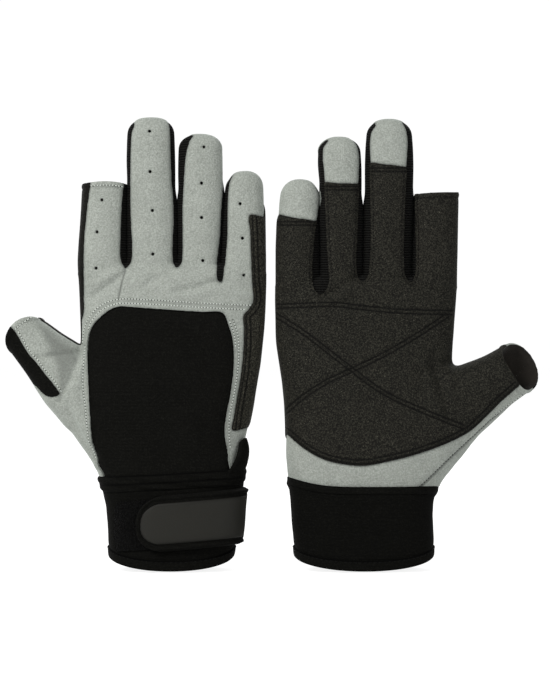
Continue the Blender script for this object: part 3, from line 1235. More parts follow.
def strap_middle(glove, x):
    """Height of the strap's middle; it climbs a little towards the little-finger side."""
    low, high, _ = glove.spec["strap"]
    return (low + high) / 2 - 0.4 + 0.085 * (x - 14)


def place(glove, part, made):
    """Lets an object follow the hand, or bend from the hand to a finger, the thumb or a flap."""
    if part == "hand":
        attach(made, glove.prefix + "hand")
        return
    if part == "thumb":
        ends = [glove.thumb_base + glove.thumb_along * s for s in (-2.0, 14.0)]
        a, b = ((x, 0, z) for x, z in ends)
    elif part == "strap":
        low, high = (at(c, strap_middle(glove, 36)) for c in glove.cuff_tube[:2])
        middle, half = (low + high) / 2, (high - low) / 2
        a, b = (middle + half + 2.0, -6.0, 0), (middle + half - 6.0, -16.0, 0)
    elif part == "pull_tab":
        a, b = (0, 0, glove.top + 0.8), (0, 0, glove.top + 5.0)
    else:
        a, b = (0, 0, glove.finger_start), (0, 0, glove.root + 8.0)
    a, b = (tuple(glove.matrix @ Vector(p)) for p in (a, b))
    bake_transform(made)


def panel(glove, name, points, tris, field, disp, mark, thick, material):
    """A panel with thickness: outer face, lining face and rim."""
    normal = outward(field, points)
    outer = points + normal * disp[:, None]
    inner = points + normal * (disp - thick)[:, None]
    edges = np.concatenate([tris[:, [0, 1]], tris[:, [1, 2]], tris[:, [2, 0]]])
    _, first, counts = np.unique(np.sort(edges, 1), axis=0, return_index=True,
                                 return_counts=True)
    rim = edges[first[counts == 1]]
    n = len(points)
    faces = [tuple(t) for t in tris] + [(c + n, b + n, a + n) for a, b, c in tris]
    faces += [(b, a, a + n, b + n) for a, b in rim]
    face_material = np.repeat([0, 1, 0], [len(tris), len(tris), len(rim)])
    made = make_object(glove, name + "_cloth", np.vstack([outer, inner]), faces,
                       [material, "lining"], face_material, np.concatenate([mark, mark]))
    if material == "grip":
        # it pales where it wraps round to the back on the little-finger side
        pale = smooth((2.0 - points[:, 1]) / 7.0) * (points[:, 0] > 0)
        add_attribute(made.data, "pale", np.concatenate([pale, pale]))
    return made


def finish_piece(glove, skin, pick, label, name, piece, thick, material, stands=True):
    """Makes the picked triangles a panel; `stands` if it replaces the CAD piece of its name."""
    if pick.sum() < 12:
        return
    points, tris = compact(skin.points, skin.tris[pick])
    points, tris = compact(points, tris[in_large_parts(tris, len(points))])
    disp, mark = displacement(glove, points, label, piece)
    # the skin is tucked in below the cuff's top edge
    disp = disp - 1.2 * smooth((rim_beside(glove, points) - 0.7 - points[:, 2]) / 1.2)
    made = panel(glove, name, points, tris, glove.field(piece), disp, mark, thick, material)
    if stands:
        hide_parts(glove.prefix + name)
    place(glove, piece, made)


def rim_height(glove, back, side):
    """The cuff's top edge: back is 1 on the back and 0 on the palm; side is -1 at the thumb
    side and 1 at the little-finger side."""
    palm_rise = 0.3 + 4.7 * np.clip(side, 0, 1) ** 3
    return glove.top + back * (2.6 + 2.2 * side) + (1 - back) * palm_rise


def rim_beside(glove, points):
    low, high, depth = (at(c, points[:, 2]) for c in glove.cuff_tube)
    side = np.clip((2 * points[:, 0] - low - high) / (high - low), -1, 1)
    sine = signed_power(np.clip(points[:, 1] / depth, -1, 1), HAND_POWER / 2)
    return rim_height(glove, smooth((0.35 - sine) / 0.7), side)


# ---- skin ------------------------------------------------------------------------------
# name, label, piece, thickness, material, slot, whether it replaces the CAD piece of its name
HAND_PIECES = [
    ("knuckle_panel", KNUCKLE, "hand", 0.9, "suede", "suede", True),
    ("palm_panel", SUEDE, "hand", 0.9, "suede", "suede", True),
    ("stretch_back_panel", NEO, "hand", 1.4, "neoprene", "neoprene", True),
    ("palm_reinforcement", GRIP, "hand", 1.5, "grip", "grip", True),
    ("side_gusset", KNIT, "hand", 0.8, "knit", "knit", False),
    ("thumb_back", ON_THUMB + SUEDE, "thumb", 0.9, "suede", "suede", True),
    ("thumb_palm", ON_THUMB + GRIP, "thumb", 1.5, "grip", "grip", True),
    ("thumb_stretch_insert", ON_THUMB + INSERT, "thumb", 0.8, "neoprene", "knit", True),
    ("insert_foot", INSERT, "hand", 0.8, "neoprene", "knit", False),
]


def build_hand(glove):
    skin = Skin(glove.body, (-101, -25, glove.top - 8.0), (56, 25, glove.finger_start + 4.0))

    def thumb_place():
        along, across = glove.thumb_axes(skin.points[:, 0], skin.points[:, 2])
        return along, across, at(glove.thumb_tube[0], along)

    skin.trim((glove.top - 3.4) - skin.points[:, 2])
    skin.trim(skin.points[:, 2] - glove.finger_start)
    _, across, width = thumb_place()
    skin.trim(np.minimum(glove.thumb_opening(skin.points), width + 4 - np.abs(across)))
    skin.refine(glove.near_grooves, 0.62)
    skin.mark(glove.knit_distance(skin.points), KNIT)
    skin.mark(glove.grip_distance(skin.points), GRIP)
    skin.mark(glove.back_distance(skin.points), NEO)
    skin.mark(glove.insert_distance(skin.points), INSERT)
    knuckle = outline_distance(skin.points, glove.knuckle)
    skin.mark(np.maximum(knuckle, skin.points[:, 1] + 0.5), KNUCKLE)
    for label in (SUEDE, GRIP, INSERT, KNUCKLE):
        along, across, width = thumb_place()
        skin.mark(np.maximum(-6.0 - along, across - width - 0.8), label + ON_THUMB, label)
    skin.labels = np.where(skin.labels == KNUCKLE + ON_THUMB, ON_THUMB, skin.labels)
    for name, label, piece, thick, material, slot, stands in HAND_PIECES:
        finish_piece(glove, skin, skin.labels == label, label % ON_THUMB, name, piece, thick,
                     material, stands)


def build_finger(glove, name):
    low, high = glove.limits(name)
    rows = glove.spec["fingers"][name]
    # the outer fingers' boxes reach to these x
    left = min(max(low, -51.12), *(row[1] for row in rows)) - 4
    right = max(min(high, 50.59), *(row[2] for row in rows)) + 4
    skin = Skin(glove.field(name), (left, -18, glove.finger_start - 4),
                (right, 18, glove.spec["ends"][name] + 5))
    skin.trim(glove.finger_start - skin.points[:, 2])
    for edge, sign in ((low, -1), (high, 1)):  # parted from its neighbours, low down
        x, _, z = skin.points.T
        margin = 0.8 * smooth((z - glove.root - 1.4) / 1.4)
        skin.trim(np.minimum(sign * (x - edge) - margin, glove.root + 6.0 - z))
    if name == "index":
        skin.trim(glove.index_opening(skin.points))
    skin.refine(lambda q: (glove.hole_distance(q) < 2.9) & (q[:, 1] < 0), 0.42)
    skin.refine(glove.near_grooves, 0.62)
    skin.mark(glove.knit_distance(skin.points), KNIT)
    skin.mark(glove.grip_distance(skin.points), GRIP)
    hole = np.maximum(glove.hole_distance(skin.points) - HOLE_RADIUS, skin.points[:, 1])
    in_hole = skin.split(hole, snap=0.05)
    skin.keep(~(in_hole & (skin.labels == SUEDE)))

    back = name + ("_finger_back" if name == "index" else "_finger_back_and_tip")
    suede, grip, knit = (skin.labels == label for label in (SUEDE, GRIP, KNIT))
    finish_piece(glove, skin, suede, SUEDE, back, name, 0.9, "suede")
    finish_piece(glove, skin, grip, GRIP, name + "_finger_palm", name, 1.4, "grip")
    if name == "index":
        walls = [("fourchette", knit)]
    elif name == "little":
        walls = [("inner_wall", knit)]
    else:
        x, _, z = skin.points.T
        edges = glove.finger_tubes[name]
        thumb_side = (x < (at(edges[0], z) + at(edges[1], z)) / 2)[skin.tris].all(1)
        walls = [("inner_wall", knit & thumb_side), ("outer_wall", knit & ~thumb_side)]
    for wall, pick in walls:
        finish_piece(glove, skin, pick, KNIT, f"{name}_finger_{wall}", name, 0.8, "knit")


# ---- stitches --------------------------------------------------------------------------
STITCH_RINGS, STITCH_SIDES = 5, 6
STITCH_PITCH, STITCH_LENGTH = 1.6, 1.12
THREADS = {}  # (glove key, object name stem, colour) -> points and faces


def add_stitch(glove, stem, colour, start, end, normal, radius, lift):
    """One thread stitch lying on a surface with the given normal."""
    along = end - start
    length = np.linalg.norm(along)
    if length < 0.4:
        return
    along = along / length
    across = np.cross(normal, along)
    across /= max(np.linalg.norm(across), 1e-9)
    normal = np.cross(along, across)
    points, faces = THREADS.setdefault((glove.key, stem, colour), ([], []))
    base = len(points)
    for i in range(STITCH_RINGS):
        f = -1 + 2 * i / (STITCH_RINGS - 1)
        r = radius * math.sqrt(max(0.12, 1 - abs(f) ** 3))
        centre = (start + end) / 2 + along * (f * length / 2) + normal * (lift - 0.34 * f**4)
        for j in range(STITCH_SIDES):
            w = 2 * math.pi * j / STITCH_SIDES
            points.append(centre + (across * math.cos(w) * 1.15 + normal * math.sin(w)) * r)
    for i in range(STITCH_RINGS - 1):
        k = base + i * STITCH_SIDES
        m = k + STITCH_SIDES
        for j in range(STITCH_SIDES):
            after = (j + 1) % STITCH_SIDES
            faces.append((k + j, k + after, m + after, m + j))
    last = base + (STITCH_RINGS - 1) * STITCH_SIDES
    faces.append(tuple(base + j for j in reversed(range(STITCH_SIDES))))
    faces.append(tuple(last + j for j in range(STITCH_SIDES)))


def on_surface(field, x, z, side):
    """The skin's points over (x, z) on one side, and a mask of those inside the outline."""
    low, high = np.zeros(len(x)), np.full(len(x), 32.0)
    for _ in range(22):
        middle = (low + high) / 2
        inside = field(x, side * middle, z) > 0
        low, high = np.where(inside, middle, low), np.where(inside, high, middle)
    return np.stack([x, side * low, z], 1), field(x, 0 * x, z) > 0


def stitch_row(glove, side, line, label, colour, keep, by=0.0, piece=None):
    """Stitches along a line where keep(points) holds; piece is found from the place if None."""
    line = offset_line(line, by) if by else line
    along = lengths_along(line)
    starts = np.arange(0.4, along[-1] - STITCH_LENGTH - 0.2, STITCH_PITCH)
    ends = [np.stack([np.interp(s, along, line[:, k]) for k in (0, 1)], 1)
            for s in (starts, starts + STITCH_LENGTH)]
    pieces = np.array([piece or glove.piece_at(x, z) for x, z in (ends[0] + ends[1]) / 2])
    for name in sorted(set(pieces)):
        field = glove.field(name)
        (start, ok_start), (end, ok_end) = (
            on_surface(field, *xz[pieces == name].T, side) for xz in ends)
        middle = (start + end) / 2
        ok = ok_start & ok_end & keep(middle)
        if name == "index":
            ok &= glove.index_opening(middle) < -0.5
        if name == "thumb":
            ok &= glove.thumb_opening(middle) < -0.5
        if not ok.any():
            continue
        lifted, normals = [], 0
        for points in (start[ok], end[ok]):
            normal = outward(field, points)
            height = displacement(glove, points, label, name)[0]
            lifted.append(points + normal * height[:, None])
            normals = normals + normal
        for a, b, normal in zip(*lifted, normals):
            normal = normal / np.linalg.norm(normal)
            add_stitch(glove, name, colour, a, b, normal, radius=0.21, lift=0.14)
            if colour == "light":  # the needle hole before the stitch
                d = (b - a) / np.linalg.norm(b - a)
                c = a - d * (STITCH_PITCH - STITCH_LENGTH) / 2
                add_stitch(glove, name, "hole", c - d * 0.27, c + d * 0.27, normal, radius=0.27,
                           lift=0.0)


def sew_openings(glove, side):
    """Hem rows of the index finger and the thumb."""
    knit, grip = glove.knit_distance, glove.grip_distance
    height = glove.spec["ends"]["index"] - (1.9 if side < 0 else 2.6)
    low, high = (at(c, height) for c in glove.finger_tubes["index"][:2])
    xs = np.linspace(low + 0.5, high - 0.5, 40)
    t = (xs - (low + high) / 2) / ((high - low) / 2)
    row = np.stack([xs, height + glove.index_rim(t)], 1)
    label, colour = (SUEDE, "light") if side < 0 else (GRIP, "dark")
    stitch_row(glove, side, row, label, colour, lambda q: knit(q) > 0.6, piece="index")

    thumb = glove.spec["thumb"]
    start = thumb["cut"] - 2.1 - thumb["lean"] * side * 8.5
    width = at(glove.thumb_tube[0], start)
    across = np.linspace(-width + 0.8, width - 0.8, 36)
    along = start + thumb["bulge"] * (1 - (across / width) ** 2)
    row = (glove.thumb_base + along[:, None] * glove.thumb_along
           + across[:, None] * glove.thumb_across)
    if side < 0:
        stitch_row(glove, side, row, SUEDE, "light", lambda q: glove.insert_distance(q) > 0.8,
                   piece="thumb")
    else:
        stitch_row(glove, side, row, GRIP, "dark", lambda q: grip(q) < -0.6, piece="thumb")
        stitch_row(glove, side, row, SUEDE, "light",
                   lambda q: (grip(q) > 0.8) & (outline_distance(q, glove.insert) > 0.8),
                   piece="thumb")


def sew_skin(glove):
    knit, grip = glove.knit_distance, glove.grip_distance
    opening = glove.thumb_opening
    back, palm = glove.back_lines, glove.palm_lines

    def on_suede(q):
        return (knit(q) > 0.8) & (grip(q) > 0.8) & (glove.back_distance(q) > 0.8)

    for name, by in (("knuckle", 1.15), ("knuckle", -1.15), ("left_row", 0.0),
                     ("right_row", 0.0), ("right_row", -1.9)):
        stitch_row(glove, -1, back[name], SUEDE, "light", on_suede, by)
    stitch_row(glove, -1, back["insert"], SUEDE, "light",
               lambda q: (glove.insert_distance(q) > 0.8) & (opening(q) < -0.8), 1.5, "thumb")
    for side in (-1, 1):
        sew_openings(glove, side)
    for line in glove.wrap_rows:
        stitch_row(glove, -1, line, GRIP, "dark", lambda q: grip(q) < -0.7)
    for name in CROSSING:
        for by in (-DOUBLE_ROW, DOUBLE_ROW):
            stitch_row(glove, 1, palm[name], GRIP, "dark",
                       lambda q: (grip(q) < -1.0) & (knit(q) > 0.8), by)
    for line in glove.hem_rows:
        stitch_row(glove, 1, line, GRIP, "dark", lambda q: (grip(q) < -0.6) & (opening(q) < -1.0))

    # the thumb's palm seam is dark at the hand and light at the tip
    ends = palm["thumb_seam"][[0, -1]]
    ends = ends[np.argsort(glove.thumb_axes(ends[:, 0], ends[:, 1])[0])]

    def part(q):
        return (q[:, 0] - ends[0, 0]) / (ends[1, 0] - ends[0, 0])

    def clear(q):
        return (grip(q) > 0.9) & (opening(q) < -0.8)

    stitch_row(glove, 1, palm["thumb_seam"], SUEDE, "dark",
               lambda q: clear(q) & (part(q) < 0.74), 0.7)
    stitch_row(glove, 1, palm["thumb_seam"], SUEDE, "light",
               lambda q: clear(q) & (part(q) > 0.70), 1.3)
    for slot in glove.palm_slots:  # just outside the knitted slots
        loop = np.vstack([slot, slot[:1]])
        for by in (1.5, -1.5):
            stitch_row(glove, 1, loop, GRIP, "dark",
                       lambda q: (grip(q) < -0.7) & (knit(q) > 0.8) & (q[:, 2] > glove.root - 6),
                       by)
    for row in glove.top_rows:
        stitch_row(glove, 1, row, GRIP, "dark", lambda q: (grip(q) < -0.5) & (knit(q) > 0.6))


def make_threads():
    for (key, stem, colour), (points, faces) in sorted(THREADS.items()):
        glove = GLOVES[key]
        on_strap = stem == "strap_thread"
        made = make_object(glove, f"{stem}_stitches_{colour}", points, faces, [colour], sharp=80)
        place(glove, "strap" if on_strap else stem, made)


# ---- cuff, strap, tab and padding: sheets laid on tubes --------------------------------
HEM_TOP = 5.9


def tube_points(tube, theta, z, off):
    """Points on a tube at angles in degrees (-90 middle of the back, 0 little-finger side)."""
    low, high, depth = (at(c, z) for c in tube)
    a = np.radians(theta)
    power = 2 / HAND_POWER
    x = (low + high) / 2 + ((high - low) / 2 + off) * signed_power(np.cos(a), power)
    y = (depth + off) * signed_power(np.sin(a), power)
    return np.stack([x, y, z + 0 * x], -1)


def sheet(glove, name, outer, inner, materials, part, closed=False, mark=None):
    """A two-sided sheet from grids of outer and inner points."""
    R, C = outer.shape[:2]
    faces, face_material = [], []
    span = C if closed else C - 1
    turn = np.cross(outer[0, 1] - outer[0, 0], outer[1, 0] - outer[0, 0])
    flip = turn @ (outer[0, 0] - inner[0, 0]) < 0

    def add(material, *corners):
        face = tuple(k * R * C + i * C + j % C for k, i, j in corners)
        faces.append(face[::-1] if flip else face)
        face_material.append(material)

    for i in range(R - 1):
        for j in range(span):
            add(0, (0, i, j), (0, i, j + 1), (0, i + 1, j + 1), (0, i + 1, j))
            add(1, (1, i, j), (1, i + 1, j), (1, i + 1, j + 1), (1, i, j + 1))
    last = R - 1
    for j in range(span):
        add(0, (0, 0, j), (1, 0, j), (1, 0, j + 1), (0, 0, j + 1))
        add(0, (0, last, j), (0, last, j + 1), (1, last, j + 1), (1, last, j))
    if not closed:
        end = C - 1
        for i in range(R - 1):
            add(0, (0, i, 0), (0, i + 1, 0), (1, i + 1, 0), (1, i, 0))
            add(0, (0, i, end), (1, i, end), (1, i + 1, end), (0, i + 1, end))
    points = np.concatenate([outer.reshape(-1, 3), inner.reshape(-1, 3)])
    mark = np.zeros(R * C) if mark is None else mark.ravel()
    made = make_object(glove, name + "_cloth", points, faces, materials, face_material,
                       np.concatenate([mark, mark]), sharp=60)
    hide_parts(glove.prefix + name)
    place(glove, part, made)


def folds(points, seed):
    """Soft sideways folds: long across, short in height, leaning."""
    x, y, z = (points[..., k] for k in range(3))
    return ripple(np.stack([x * 0.30 + seed, y * 0.30, z * 1.0 + x * 0.16], -1), 1, 3, seed)


def hem_edge(theta):
    """Height of the cuff's lower edge, which is cut higher at the sides."""
    side = np.abs(np.cos(np.radians(theta))) ** (2 / HAND_POWER)
    return 7.2 * (1 - np.sqrt(np.clip(1 - side * side, 0, 1)))


def on_back(theta):
    return smooth((0.35 - np.sin(np.radians(theta))) / 0.7)


def puff(v, power):
    """1 in the middle of v = 0..1 and 0 at its ends."""
    return np.clip(1 - np.abs(2 * v - 1) ** power, 0, 1) ** 0.5


def build_bands(glove):
    tube, seed = glove.cuff_tube, glove.spec["cuff_seed"]
    columns = 220
    angles = np.arange(columns) * 360.0 / columns

    def band(name, bottom, top, rows, profile, thick, material, dark=None):
        v = np.linspace(0, 1, rows)[:, None]
        theta = np.broadcast_to(angles, (rows, columns))
        z = bottom(theta) + (top(theta) - bottom(theta)) * v
        off = profile(v, theta, tube_points(tube, theta, z, 0.0))
        inner_off = off - thick * (0.35 + 0.65 * np.sqrt(np.clip(1 - (2 * v - 1) ** 6, 0, 1)))
        sheet(glove, name, tube_points(tube, theta, z, off),
              tube_points(tube, theta, z, inner_off), [material, "lining"], "hand",
              closed=True, mark=dark(v, theta) + 0 * theta if dark else None)

    def shell_top(theta):
        side = signed_power(np.cos(np.radians(theta)), 2 / HAND_POWER)
        back = on_back(theta)
        return rim_height(glove, back, side) - (3.8 + 4.4 * back)

    def band_top(theta):
        return shell_top(theta) + 3.8 + 4.4 * on_back(theta)

    def hem_profile(v, theta, base):
        return 0.65 * puff(v, 4) - 0.25 * (v > 0.97) + 0.16 * folds(base, seed + 3)

    def shell_profile(v, theta, base):
        wrinkles = (0.40 + 0.65 * smooth((v - 0.45) / 0.5)) * folds(base, seed) * puff(v, 8)
        return (0.15 * puff(v, 10) - 0.35 * (1 - puff(v, 14)) + wrinkles
                + 0.25 * ripple(base * 0.6, 0, 1, seed))

    def top_profile(v, theta, base):
        back = on_back(theta)
        roll = 0.10 + (0.40 + 0.65 * back) * puff(v, 3.0) - 0.4 * smooth((v - 0.9) / 0.1)
        lean = (np.sin((base[..., 2] * 1.15 + base[..., 0] * 0.13) * 1.25 + seed * 2) * 0.42
                * (0.4 + 0.6 * smooth(ripple(base * 0.35, 0, 1, seed) + 0.4)))
        wrinkles = (lean + 0.35 * folds(base, seed + 1.5)) * puff(v, 6)
        return roll + wrinkles * (0.15 + 0.85 * back)

    def top_dark(v, theta):
        return np.maximum(smooth((v - 0.86) / 0.1), 0.9 * bell(v - 0.46, 0.07) * on_back(theta))

    band("cuff_hem_band", lambda t: hem_edge(t) + 0.35, lambda t: hem_edge(t) + HEM_TOP, 12,
         hem_profile, 2.6, "binding", lambda v, theta: smooth((v - 0.80) / 0.12))
    band("cuff_shell", lambda t: HEM_TOP - 0.1 + hem_edge(t), shell_top, 44,
         shell_profile, 2.0, "cuff")
    band("cuff_top_band", lambda t: shell_top(t) - 0.2, band_top, 26,
         top_profile, 2.2, "binding", top_dark)


def build_strap(glove):
    """The strap, its grip patch and the tapes under it; returns the patch's outer points."""
    tube, seed, tuck = glove.cuff_tube, glove.spec["cuff_seed"], glove.spec["tuck"]
    low, high, tip = glove.spec["strap"]
    half = (high - low) / 2 - 1.2
    coarse = 1

    def strip(name, columns, rows, tip_x, half, root_angle, out, thick, corner, profile,
              materials, slot, part, dark=None):
        """A strip round the back; out is its stand-off and corner its tip's rounding."""
        root_angle, out, sewn = root_angle - 9 - 10 * tuck, out - 0.5 - 0.7 * tuck, 4 - 10 * tuck
        u = np.linspace(0, 1, columns // coarse)[None, :]
        v = np.linspace(-1, 1, rows // coarse)[:, None]
        v = np.sign(v) * (1 - (1 - np.abs(v)) ** 1.35)  # finer towards the edges
        start_x = tip_x + corner * (1 - np.sqrt(np.clip(1 - np.abs(v) ** 2.5, 0, 1)))
        start_z = strap_middle(glove, start_x) + v * half
        left, right = (at(c, start_z) for c in tube[:2])
        middle, wide = (left + right) / 2, (right - left) / 2
        t = np.clip((start_x - middle) / wide, -1, 1)
        start_angle = -np.degrees(np.arccos(signed_power(t, HAND_POWER / 2)))
        theta = start_angle + (root_angle - start_angle) * u
        x = middle + wide * signed_power(np.cos(np.radians(theta)), 2 / HAND_POWER)
        z = strap_middle(glove, x) + v * half
        base = tube_points(tube, theta, z, 0.0)
        edge = np.minimum((1 - np.abs(v)) * half, u * 62.0)  # distance from the nearest edge
        fall = smooth((sewn - theta) / (14 + 8 * tuck))  # its end is sewn down at the side
        flare = 1.3 * (1 - tuck) * (1 - v) / 2 * smooth((theta + 62) / 50)
        off = (out + flare + profile(edge, base)) * fall - 0.3 * (1 - fall)
        outer = tube_points(tube, theta, z, off)
        inner = tube_points(tube, theta, z, off - thick * (0.4 + 0.6 * fall))
        sheet(glove, name, outer, inner, materials, part,
              mark=dark(edge) if dark else None)
        return outer

    def wave(base):
        return 0.55 * ripple(base * np.array([0.5, 0.5, 0.9]), 0, 1, seed)

    def loop_pile(edge, base):
        return 0.12 * np.sin(base[..., 0] * 7.1) * np.sin(base[..., 2] * 6.3)

    def hook_pile(edge, base):
        return 0.10 * np.sin(base[..., 0] * 8.3) * np.sin(base[..., 2] * 7.7)

    def bound_edge(edge, base):  # rolled edge, raised binding, groove inside it
        return (-1.5 * bell(edge, 0.55) + 0.42 * bell(edge - 1.3, 0.9)
                - 0.25 * bell(edge - 2.9, 0.5) + wave(base))

    def soft_edge(edge, base):
        return -0.95 * bell(edge, 0.6) - 0.28 * bell(edge, 2.4) + wave(base)

    strip("loop_field", 90, 30, tip_x=tip - 12, half=half - 1.6, root_angle=-36, out=1.5,
          thick=1.0, corner=2.0, profile=loop_pile, materials=["loop", "loop"], slot="hook",
          part="hand")
    strip("hook_field", 60, 26, tip_x=tip + 4, half=half - 4.0, root_angle=-66, out=2.9,
          thick=0.9, corner=4.0, profile=hook_pile, materials=["hook", "hook"], slot="hook",
          part="strap")
    strip("strap_band", 150, 56, tip_x=tip, half=half, root_angle=13.0, out=3.7, thick=1.2,
          corner=15.5, profile=bound_edge, materials=["binding", "hook"], slot="neoprene",
          part="strap")
    return strip("strap_grip_patch", 140, 46, tip_x=tip + 2.6, half=half - 3.6, root_angle=-8.0,
                 out=4.6, thick=1.3, corner=12.5, profile=soft_edge,
                 materials=["rubber", "rubber"], slot="rubber", part="strap",
                 dark=lambda edge: bell(edge, 1.6))


def build_pull_tab(glove):
    """A thick curved fin standing on the cuff's top edge, on the back."""
    rows, columns = ((40, 30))
    tuck = glove.spec["tuck"]
    f, c = np.linspace(0, 1, rows)[:, None], np.linspace(-1, 1, columns)[None, :]
    left = -53 + 25 * f**0.5 - 17 * tuck
    right = -9.0 - 3.0 * f**3 - 17 * tuck
    theta = (left + right) / 2 + (right - left) / 2 * c
    z = glove.top + 2.4 + 18.6 * f - 2.4 * c**2 * f**6 + 0.9 * c * (1 - f)
    off = (1.2 + 2.5 * np.sin(math.pi * np.clip(f * 0.92, 0, 1)) ** 0.8
           + 0.55 * (1 - c**2) * f - 0.6 * c**8)
    thick = 1.7 * np.clip(1 - c**8, 0.25, 1) * np.clip(1 - f**10, 0.3, 1)
    sheet(glove, "pull_tab", tube_points(glove.hand_tube, theta, z, off),
          tube_points(glove.hand_tube, theta, z, off - thick), ["binding", "binding"],
          "pull_tab")


def build_padding(glove):
    """Padding inside the palm, in channels."""
    rows, columns = ((60, 80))
    first, last = 36, 149  # angles of its sides
    z = np.linspace(0.40 * glove.root + 0.6 * glove.top, glove.root - 12, rows)[:, None]
    theta = np.linspace(first, last, columns)[None, :] + 0 * z
    z = z + 0 * theta
    edge = np.minimum(np.minimum(z - z.min(), z.max() - z),
                      np.minimum(theta - first, last - theta) * 0.6)
    channels = 0.65 + 0.35 * np.abs(np.sin((z - z.min()) * math.pi / 11.0)) ** 0.5
    height = 1.15 * np.sqrt(np.clip(edge / 5.0, 0.02, 1)) * channels
    sheet(glove, "palm_foam_pad", tube_points(glove.hand_tube, theta, z, -2.6),
          tube_points(glove.hand_tube, theta, z, -2.7 - height), ["foam", "foam"],
          "hand")


def sew_cuff(glove, patch):
    def run(points, normals, stem, pitch=2.6, length=1.9):
        along = lengths_along(points)
        for s in np.arange(0.3, along[-1] - length, pitch):
            start, end, normal = (
                np.array([np.interp(t, along, source[:, k]) for k in range(3)])
                for t, source in ((s, points), (s + length, points), (s + length / 2, normals)))
            add_stitch(glove, stem, "dark", start, end, normal / np.linalg.norm(normal),
                       radius=0.24, lift=0.12)

    # round the hem band
    tube, theta = glove.cuff_tube, np.linspace(0, 360, 361)
    z = HEM_TOP + hem_edge(theta) - 0.9
    base = tube_points(tube, theta, z, 0.0)
    off = 0.5 + 0.16 * folds(base, glove.spec["cuff_seed"] + 3)
    run(tube_points(tube, theta, z, off), tube_points(tube, theta, z, 3.0) - base, "hand")

    # round the strap's patch
    columns = patch.shape[1]
    loop = np.concatenate([patch[1, ::-1][: columns - 3], patch[1:-1, 1],
                           patch[-2, : columns - 3]])
    away = loop - (patch.reshape(-1, 3).mean(0) + np.array([0, 26.0, 0]))
    run(loop - away / np.linalg.norm(away, axis=1, keepdims=True) * 0.1, away, "strap_thread")


# ---- studio ----------------------------------------------------------------------------
LOOK_AT, CAMERA_DISTANCE, CAMERA_TILT = Vector((0.0019, 0, 0.1198)), 1.9, math.radians(1.2)
VIEW_HEIGHT = 0.36464  # metres seen at the gloves, over FRAME_USED of the sensor
FRAME_USED, SENSOR = 35.86, 36.0
# name, place, disk size, power, colour
LIGHTS = [
    ("key", (-1.0, -1.0, 1.15), 0.7, 26.0, (1, 0.995, 0.98)),
    ("fill", (1.1, -1.1, 0.45), 1.2, 6.0, (0.98, 0.99, 1)),
    ("back", (0.5, 1.3, 1.1), 1.0, 12.0, (1, 1, 1)),
    ("back_left", (-1.1, 0.9, 0.6), 1.0, 6.0, (1, 1, 1)),
]


def link_object(name, data, location):
    made = bpy.data.objects.new(name, data)
    made.location = location
    bpy.context.scene.collection.objects.link(made)
    return made


def aim(made, target):
    made.rotation_euler = (target - made.location).to_track_quat("-Z", "Y").to_euler()


def shader_node(tree, kind, colour, strength=None):
    made = tree.nodes.new(kind)
    made.inputs["Color"].default_value = (*colour, 1)
    if strength is not None:
        made.inputs["Strength"].default_value = strength
    return made.outputs[0]


def split_camera_rays(tree, output_kind, lighting, seen):
    """Shows `seen` to the camera and `lighting` to all other rays."""
    output, mix, path = (tree.nodes.new(kind) for kind in (
        output_kind, "ShaderNodeMixShader", "ShaderNodeLightPath"))
    tree.links.new(path.outputs["Is Camera Ray"], mix.inputs[0])
    tree.links.new(lighting, mix.inputs[1])
    tree.links.new(seen, mix.inputs[2])
    tree.links.new(mix.outputs[0], output.inputs["Surface"])


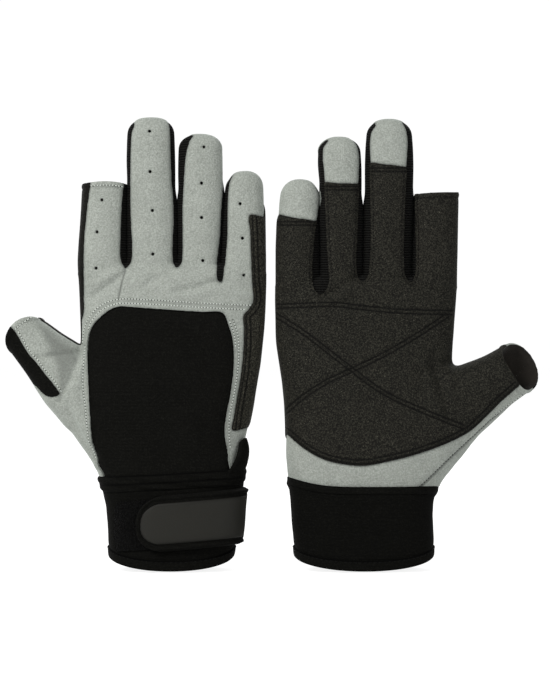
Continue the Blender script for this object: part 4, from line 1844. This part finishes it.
def build_floor():
    """A disk that looks white, with soft shadows."""
    circle = bmesh.new()
    bmesh.ops.create_circle(circle, cap_ends=True, segments=96, radius=4.0)
    mesh = bpy.data.meshes.new("floor")
    circle.to_mesh(mesh)
    circle.free()
    floor = link_object("floor", mesh, (0, 0, -0.0004))
    material = bpy.data.materials.new("studio_floor")
    material.use_nodes = True
    tree = material.node_tree
    tree.nodes.clear()
    bounce = shader_node(tree, "ShaderNodeBsdfDiffuse", (0.80, 0.80, 0.80))
    soft = shader_node(tree, "ShaderNodeBsdfDiffuse", (0.30, 0.30, 0.30))
    glow = shader_node(tree, "ShaderNodeEmission", (1, 1, 1), strength=0.87)
    total = tree.nodes.new("ShaderNodeAddShader")
    tree.links.new(soft, total.inputs[0])
    tree.links.new(glow, total.inputs[1])
    split_camera_rays(tree, "ShaderNodeOutputMaterial", bounce, total.outputs[0])
    mesh.materials.append(material)


def build_world():
    world = bpy.data.worlds.new("studio")
    bpy.context.scene.world = world
    world.use_nodes = True
    tree = world.node_tree
    tree.nodes.clear()
    seen = shader_node(tree, "ShaderNodeBackground", (1, 1, 1), strength=1.02)
    lighting = shader_node(tree, "ShaderNodeBackground", (0.99, 1, 0.99), strength=0.42)
    split_camera_rays(tree, "ShaderNodeOutputWorld", lighting, seen)


def build_lights():
    for name, location, size, power, colour in LIGHTS:
        light = bpy.data.lights.new(name, "AREA")
        light.shape, light.size, light.energy, light.color = "DISK", size, power, colour
        aim(link_object(name, light, location), Vector((0, 0, 0.12)))


def build_camera():
    camera = bpy.data.cameras.new("camera")
    camera.sensor_fit = "VERTICAL"
    camera.sensor_height = camera.sensor_width = SENSOR
    camera.lens = CAMERA_DISTANCE / VIEW_HEIGHT * FRAME_USED
    camera.clip_start, camera.clip_end = 0.05, 20
    away = Vector((0, -CAMERA_DISTANCE * math.cos(CAMERA_TILT),
                   CAMERA_DISTANCE * math.sin(CAMERA_TILT)))
    made = link_object("camera", camera, LOOK_AT + away)
    aim(made, LOOK_AT)
    bpy.context.scene.camera = made


# ---- build -----------------------------------------------------------------------------
for glove in GLOVES.values():
    build_hand(glove)
    for finger_name in FINGERS:
        build_finger(glove, finger_name)
    sew_skin(glove)
    build_bands(glove)
    patch_points = build_strap(glove)
    build_pull_tab(glove)
    build_padding(glove)
    sew_cuff(glove, patch_points)
make_threads()

bpy.context.scene.view_settings.view_transform = "Standard"
build_floor()
build_world()
build_lights()
build_camera()
bpy.context.view_layer.update()
